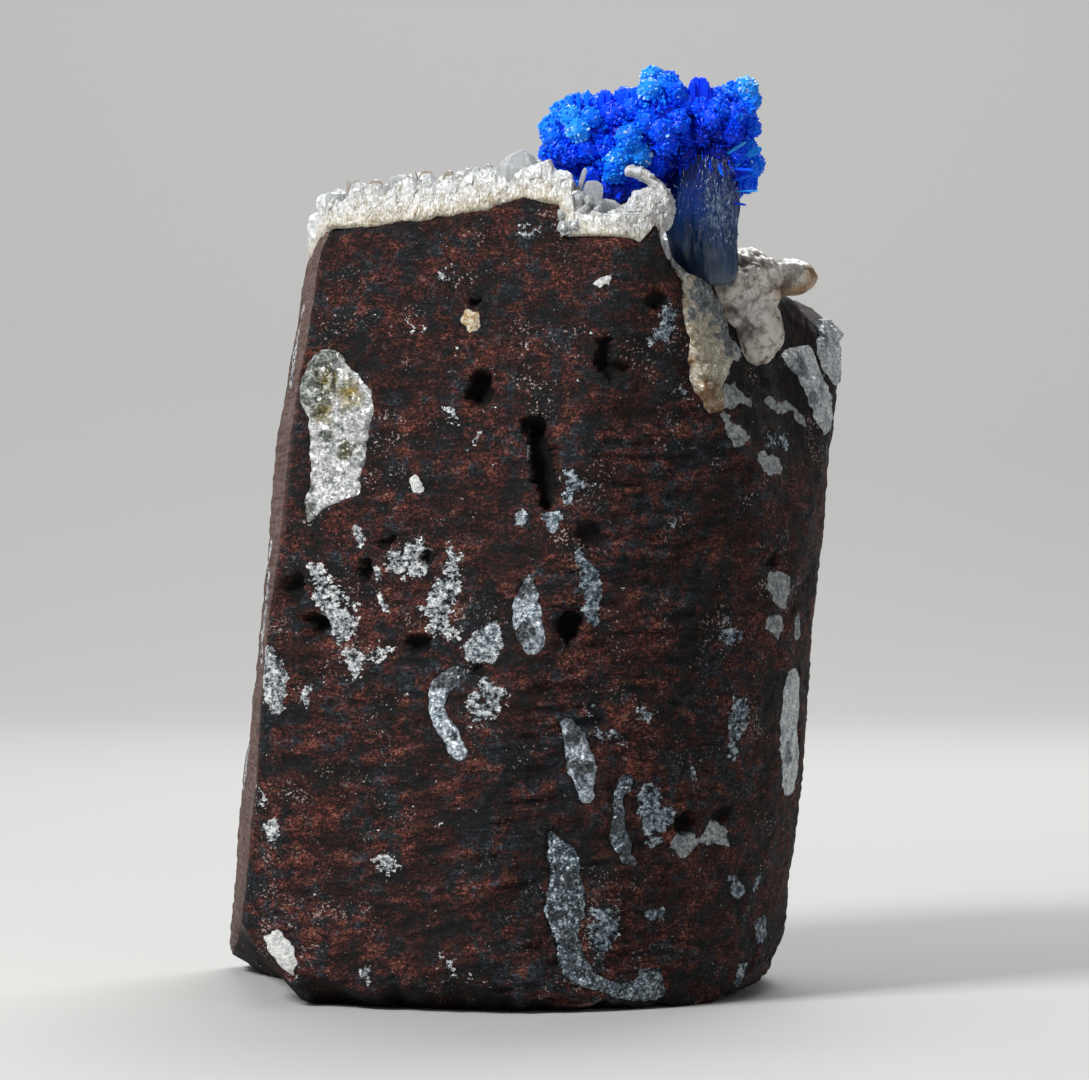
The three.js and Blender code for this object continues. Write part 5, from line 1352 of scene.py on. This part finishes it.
add_piece("zeolite_crust_bed", white_points, white_faces, frosty, ["zeolite_crust"], "white_zeolite",
          smooth=False, **white_fields)
add_piece("zeolite_crust_crystals", packed_points, packed_faces, frosty, ["zeolite_crust"], "white_zeolite",
          smooth=False, rise=packed_rise, tan=0 * packed_rise, clear=packed_clear)

# Glassy tips along the crest, a clear six-sided plate and a thin rod beside the cluster, and small
# clear blocks under them.
crest_x, crest_z, tip_width, tip_depth, tip_length, tip_tan = np.array(CREST_TIPS).T
front = np.linspace(-132, -66, 200)
tip_angle = np.interp(crest_x, around_axis(front, 78, crust_reach(front) - 1.0)[:, 0], front)
tip_foot = around_axis(tip_angle, crest_z - tip_length, crust_reach(tip_angle) - 0.45 - 0.5 * tip_depth)
tip_foot[:, 0] = crest_x
lean = np.stack([0.08 * dice.normal(size=len(crest_x)), 0 * crest_x, 1 + 0 * crest_x], -1)
HEAD = [(0, 0.95), (0.72, 1.0), (0.84, 0.95), (0.92, 0.8), (0.97, 0.52)]
BLOCKS = 22
TAPER = 1.25  # a head is this much wider at its widest than listed, since it narrows upwards
block_foot = np.stack([dice.uniform(5.9, 9.6, BLOCKS), dice.uniform(-27.3, -26.6, BLOCKS),
                       dice.uniform(75.2, 78.0, BLOCKS)], -1)
glass_foot = np.concatenate([tip_foot, [[8.6, -26.4, 76.6], [7.4, -26.6, 78.8]], block_foot])
glass_axis = np.concatenate([lean, [[0.1, -0.1, 1], [0.3, -0.1, 1]],
                             np.array([0.1, -0.3, 0.8]) + 0.6 * dice.normal(size=(BLOCKS, 3))])
spin = np.concatenate([np.full(len(tip_foot) + 2, np.pi / 2), dice.uniform(0, np.pi, BLOCKS)])
tip_points, tip_faces, tip_share = crystals(
    glass_foot, glass_axis, spin,
    np.concatenate([TAPER * tip_width, [2.0, 0.5], dice.uniform(0.7, 1.3, BLOCKS)]),
    np.concatenate([tip_depth, [0.3, 0.4], dice.uniform(0.4, 0.9, BLOCKS)]),
    np.concatenate([tip_length, [3.6, 2.7], dice.uniform(1.0, 1.9, BLOCKS)]),
    COFFIN, HEAD, dice.uniform(-0.25, 0.25, len(spin)))
tan = np.append(tip_tan, np.zeros(BLOCKS + 2))[:, None] + 0 * tip_share
# One large pointed crystal stands by itself to the left of the cluster.
point_points, point_faces, _ = crystals(
    np.array([[1.7, -25.2, 78.7]]), np.array([[0.04, 0.0, 1.0]]), np.full(1, np.pi / 2), np.array([4.3]),
    np.array([1.5]), np.array([4.6]), COFFIN, [(0, 0.95), (0.6, 1.0), (0.86, 0.62)], 0.08)
glass = [(tip_points, tip_faces, {"rise": 0.35 + 0.35 * tip_share, "clear": 0.35 * tip_share, "tan": tan}),
         (point_points, point_faces, {"rise": 0.6, "clear": 0.3, "tan": 0})]
for index, (centre, radii) in enumerate(GLASSY_LUMPS):
    direction, reach, faces = lobed_body([(centre, radii)], centre, columns=72, rings=40, softness=0.01)
    skin = centre + direction * reach[:, None]
    rough = 0.6 * chips(skin, 1.1, 111 + 10 * index) + 0.2 * chips(skin, 0.45, 151)
    glass.append((skin + direction * rough[:, None], faces, {"rise": 0.6, "clear": 0.3, "tan": 0}))
glass_points, glass_faces, glass_fields = joined(*glass)
add_piece("zeolite_crust_tips", glass_points, glass_faces, glassy, slot="white_zeolite", smooth=False,
          **glass_fields)

# ---------------------------------------------------------------- floor, light and camera
# Pale matt sweep: level under the specimen, then a quarter turn up to a wall. A small key light from
# the upper left, three wide soft lights and a dim sky.

bend = np.linspace(0, np.pi / 2, 24)
curve = np.stack([0.7 + 0.6 * np.sin(bend), 0.6 - 0.6 * np.cos(bend)], -1)
profile = np.concatenate([[[-2.0, 0.0]], curve, [[1.3, 3.0]]])
across = np.array([-2.5, 2.5])[:, None]
sweep = np.stack(np.broadcast_arrays(across, profile[:, 0], profile[:, 1]), -1).reshape(-1, 3)
step = np.arange(len(profile) - 1)
sweep_faces = np.stack([step, step + len(profile), step + 1 + len(profile), step + 1], -1).tolist()
floor_mesh = bpy.data.meshes.new("floor")
floor_mesh.from_pydata(sweep.tolist(), [], sweep_faces)
floor_mesh.shade_smooth()
floor = bpy.data.objects.new("floor", floor_mesh)
bpy.context.scene.collection.objects.link(floor)
matt_floor, _ = new_material("pale matt floor")
floor_mesh.materials.append(matt_floor)
finish(matt_floor, {"Base Color": "#b6b6b4", "Roughness": 0.9})


def add_light(name, position, size, power, target=(0.0, 0.0, 0.045)):
    """Square soft light that looks at the target, by default the middle of the specimen."""
    light = bpy.data.lights.new(name, "AREA")
    light.size, light.energy = size, power
    lamp = bpy.data.objects.new(name, light)
    bpy.context.scene.collection.objects.link(lamp)
    aim = np.array(target) - position
    lamp.location = position
    tilt, turn = math.atan2(np.hypot(aim[0], aim[1]), -aim[2]), math.atan2(aim[0], -aim[1]) + math.pi
    lamp.rotation_euler = (tilt, 0, turn)


add_light("key", (-0.27, -0.25, 0.37), 0.13, 2.75, (0.0, 0.0, 0.06))
add_light("fill", (0.60, -0.60, 0.25), 0.50, 0.6)
add_light("back", (0.15, 0.45, 0.55), 0.35, 2.6)
add_light("backdrop", (0.0, 0.6, 1.2), 0.8, 12.0, (0.0, 1.3, 0.2))

world = bpy.data.worlds.new("studio")
world.use_nodes = True
sky = world.node_tree.nodes["Background"].inputs
sky["Color"].default_value, sky["Strength"].default_value = linear("#d8dade"), 0.29
bpy.context.scene.world = world
bpy.context.scene.view_settings.view_transform = "Standard"

# The render is 1089 pixels wide, and the lens is 4600 of them long.
camera_data = bpy.data.cameras.new("camera")
camera_data.sensor_width = 36
camera_data.lens = 36 * 4600 / 1089
camera = bpy.data.objects.new("camera", camera_data)
bpy.context.scene.collection.objects.link(camera)
camera.location = (4.2 * MM, -470 * MM, 45.5 * MM)
camera.rotation_euler = (math.pi / 2, 0, 0)
bpy.context.scene.camera = camera
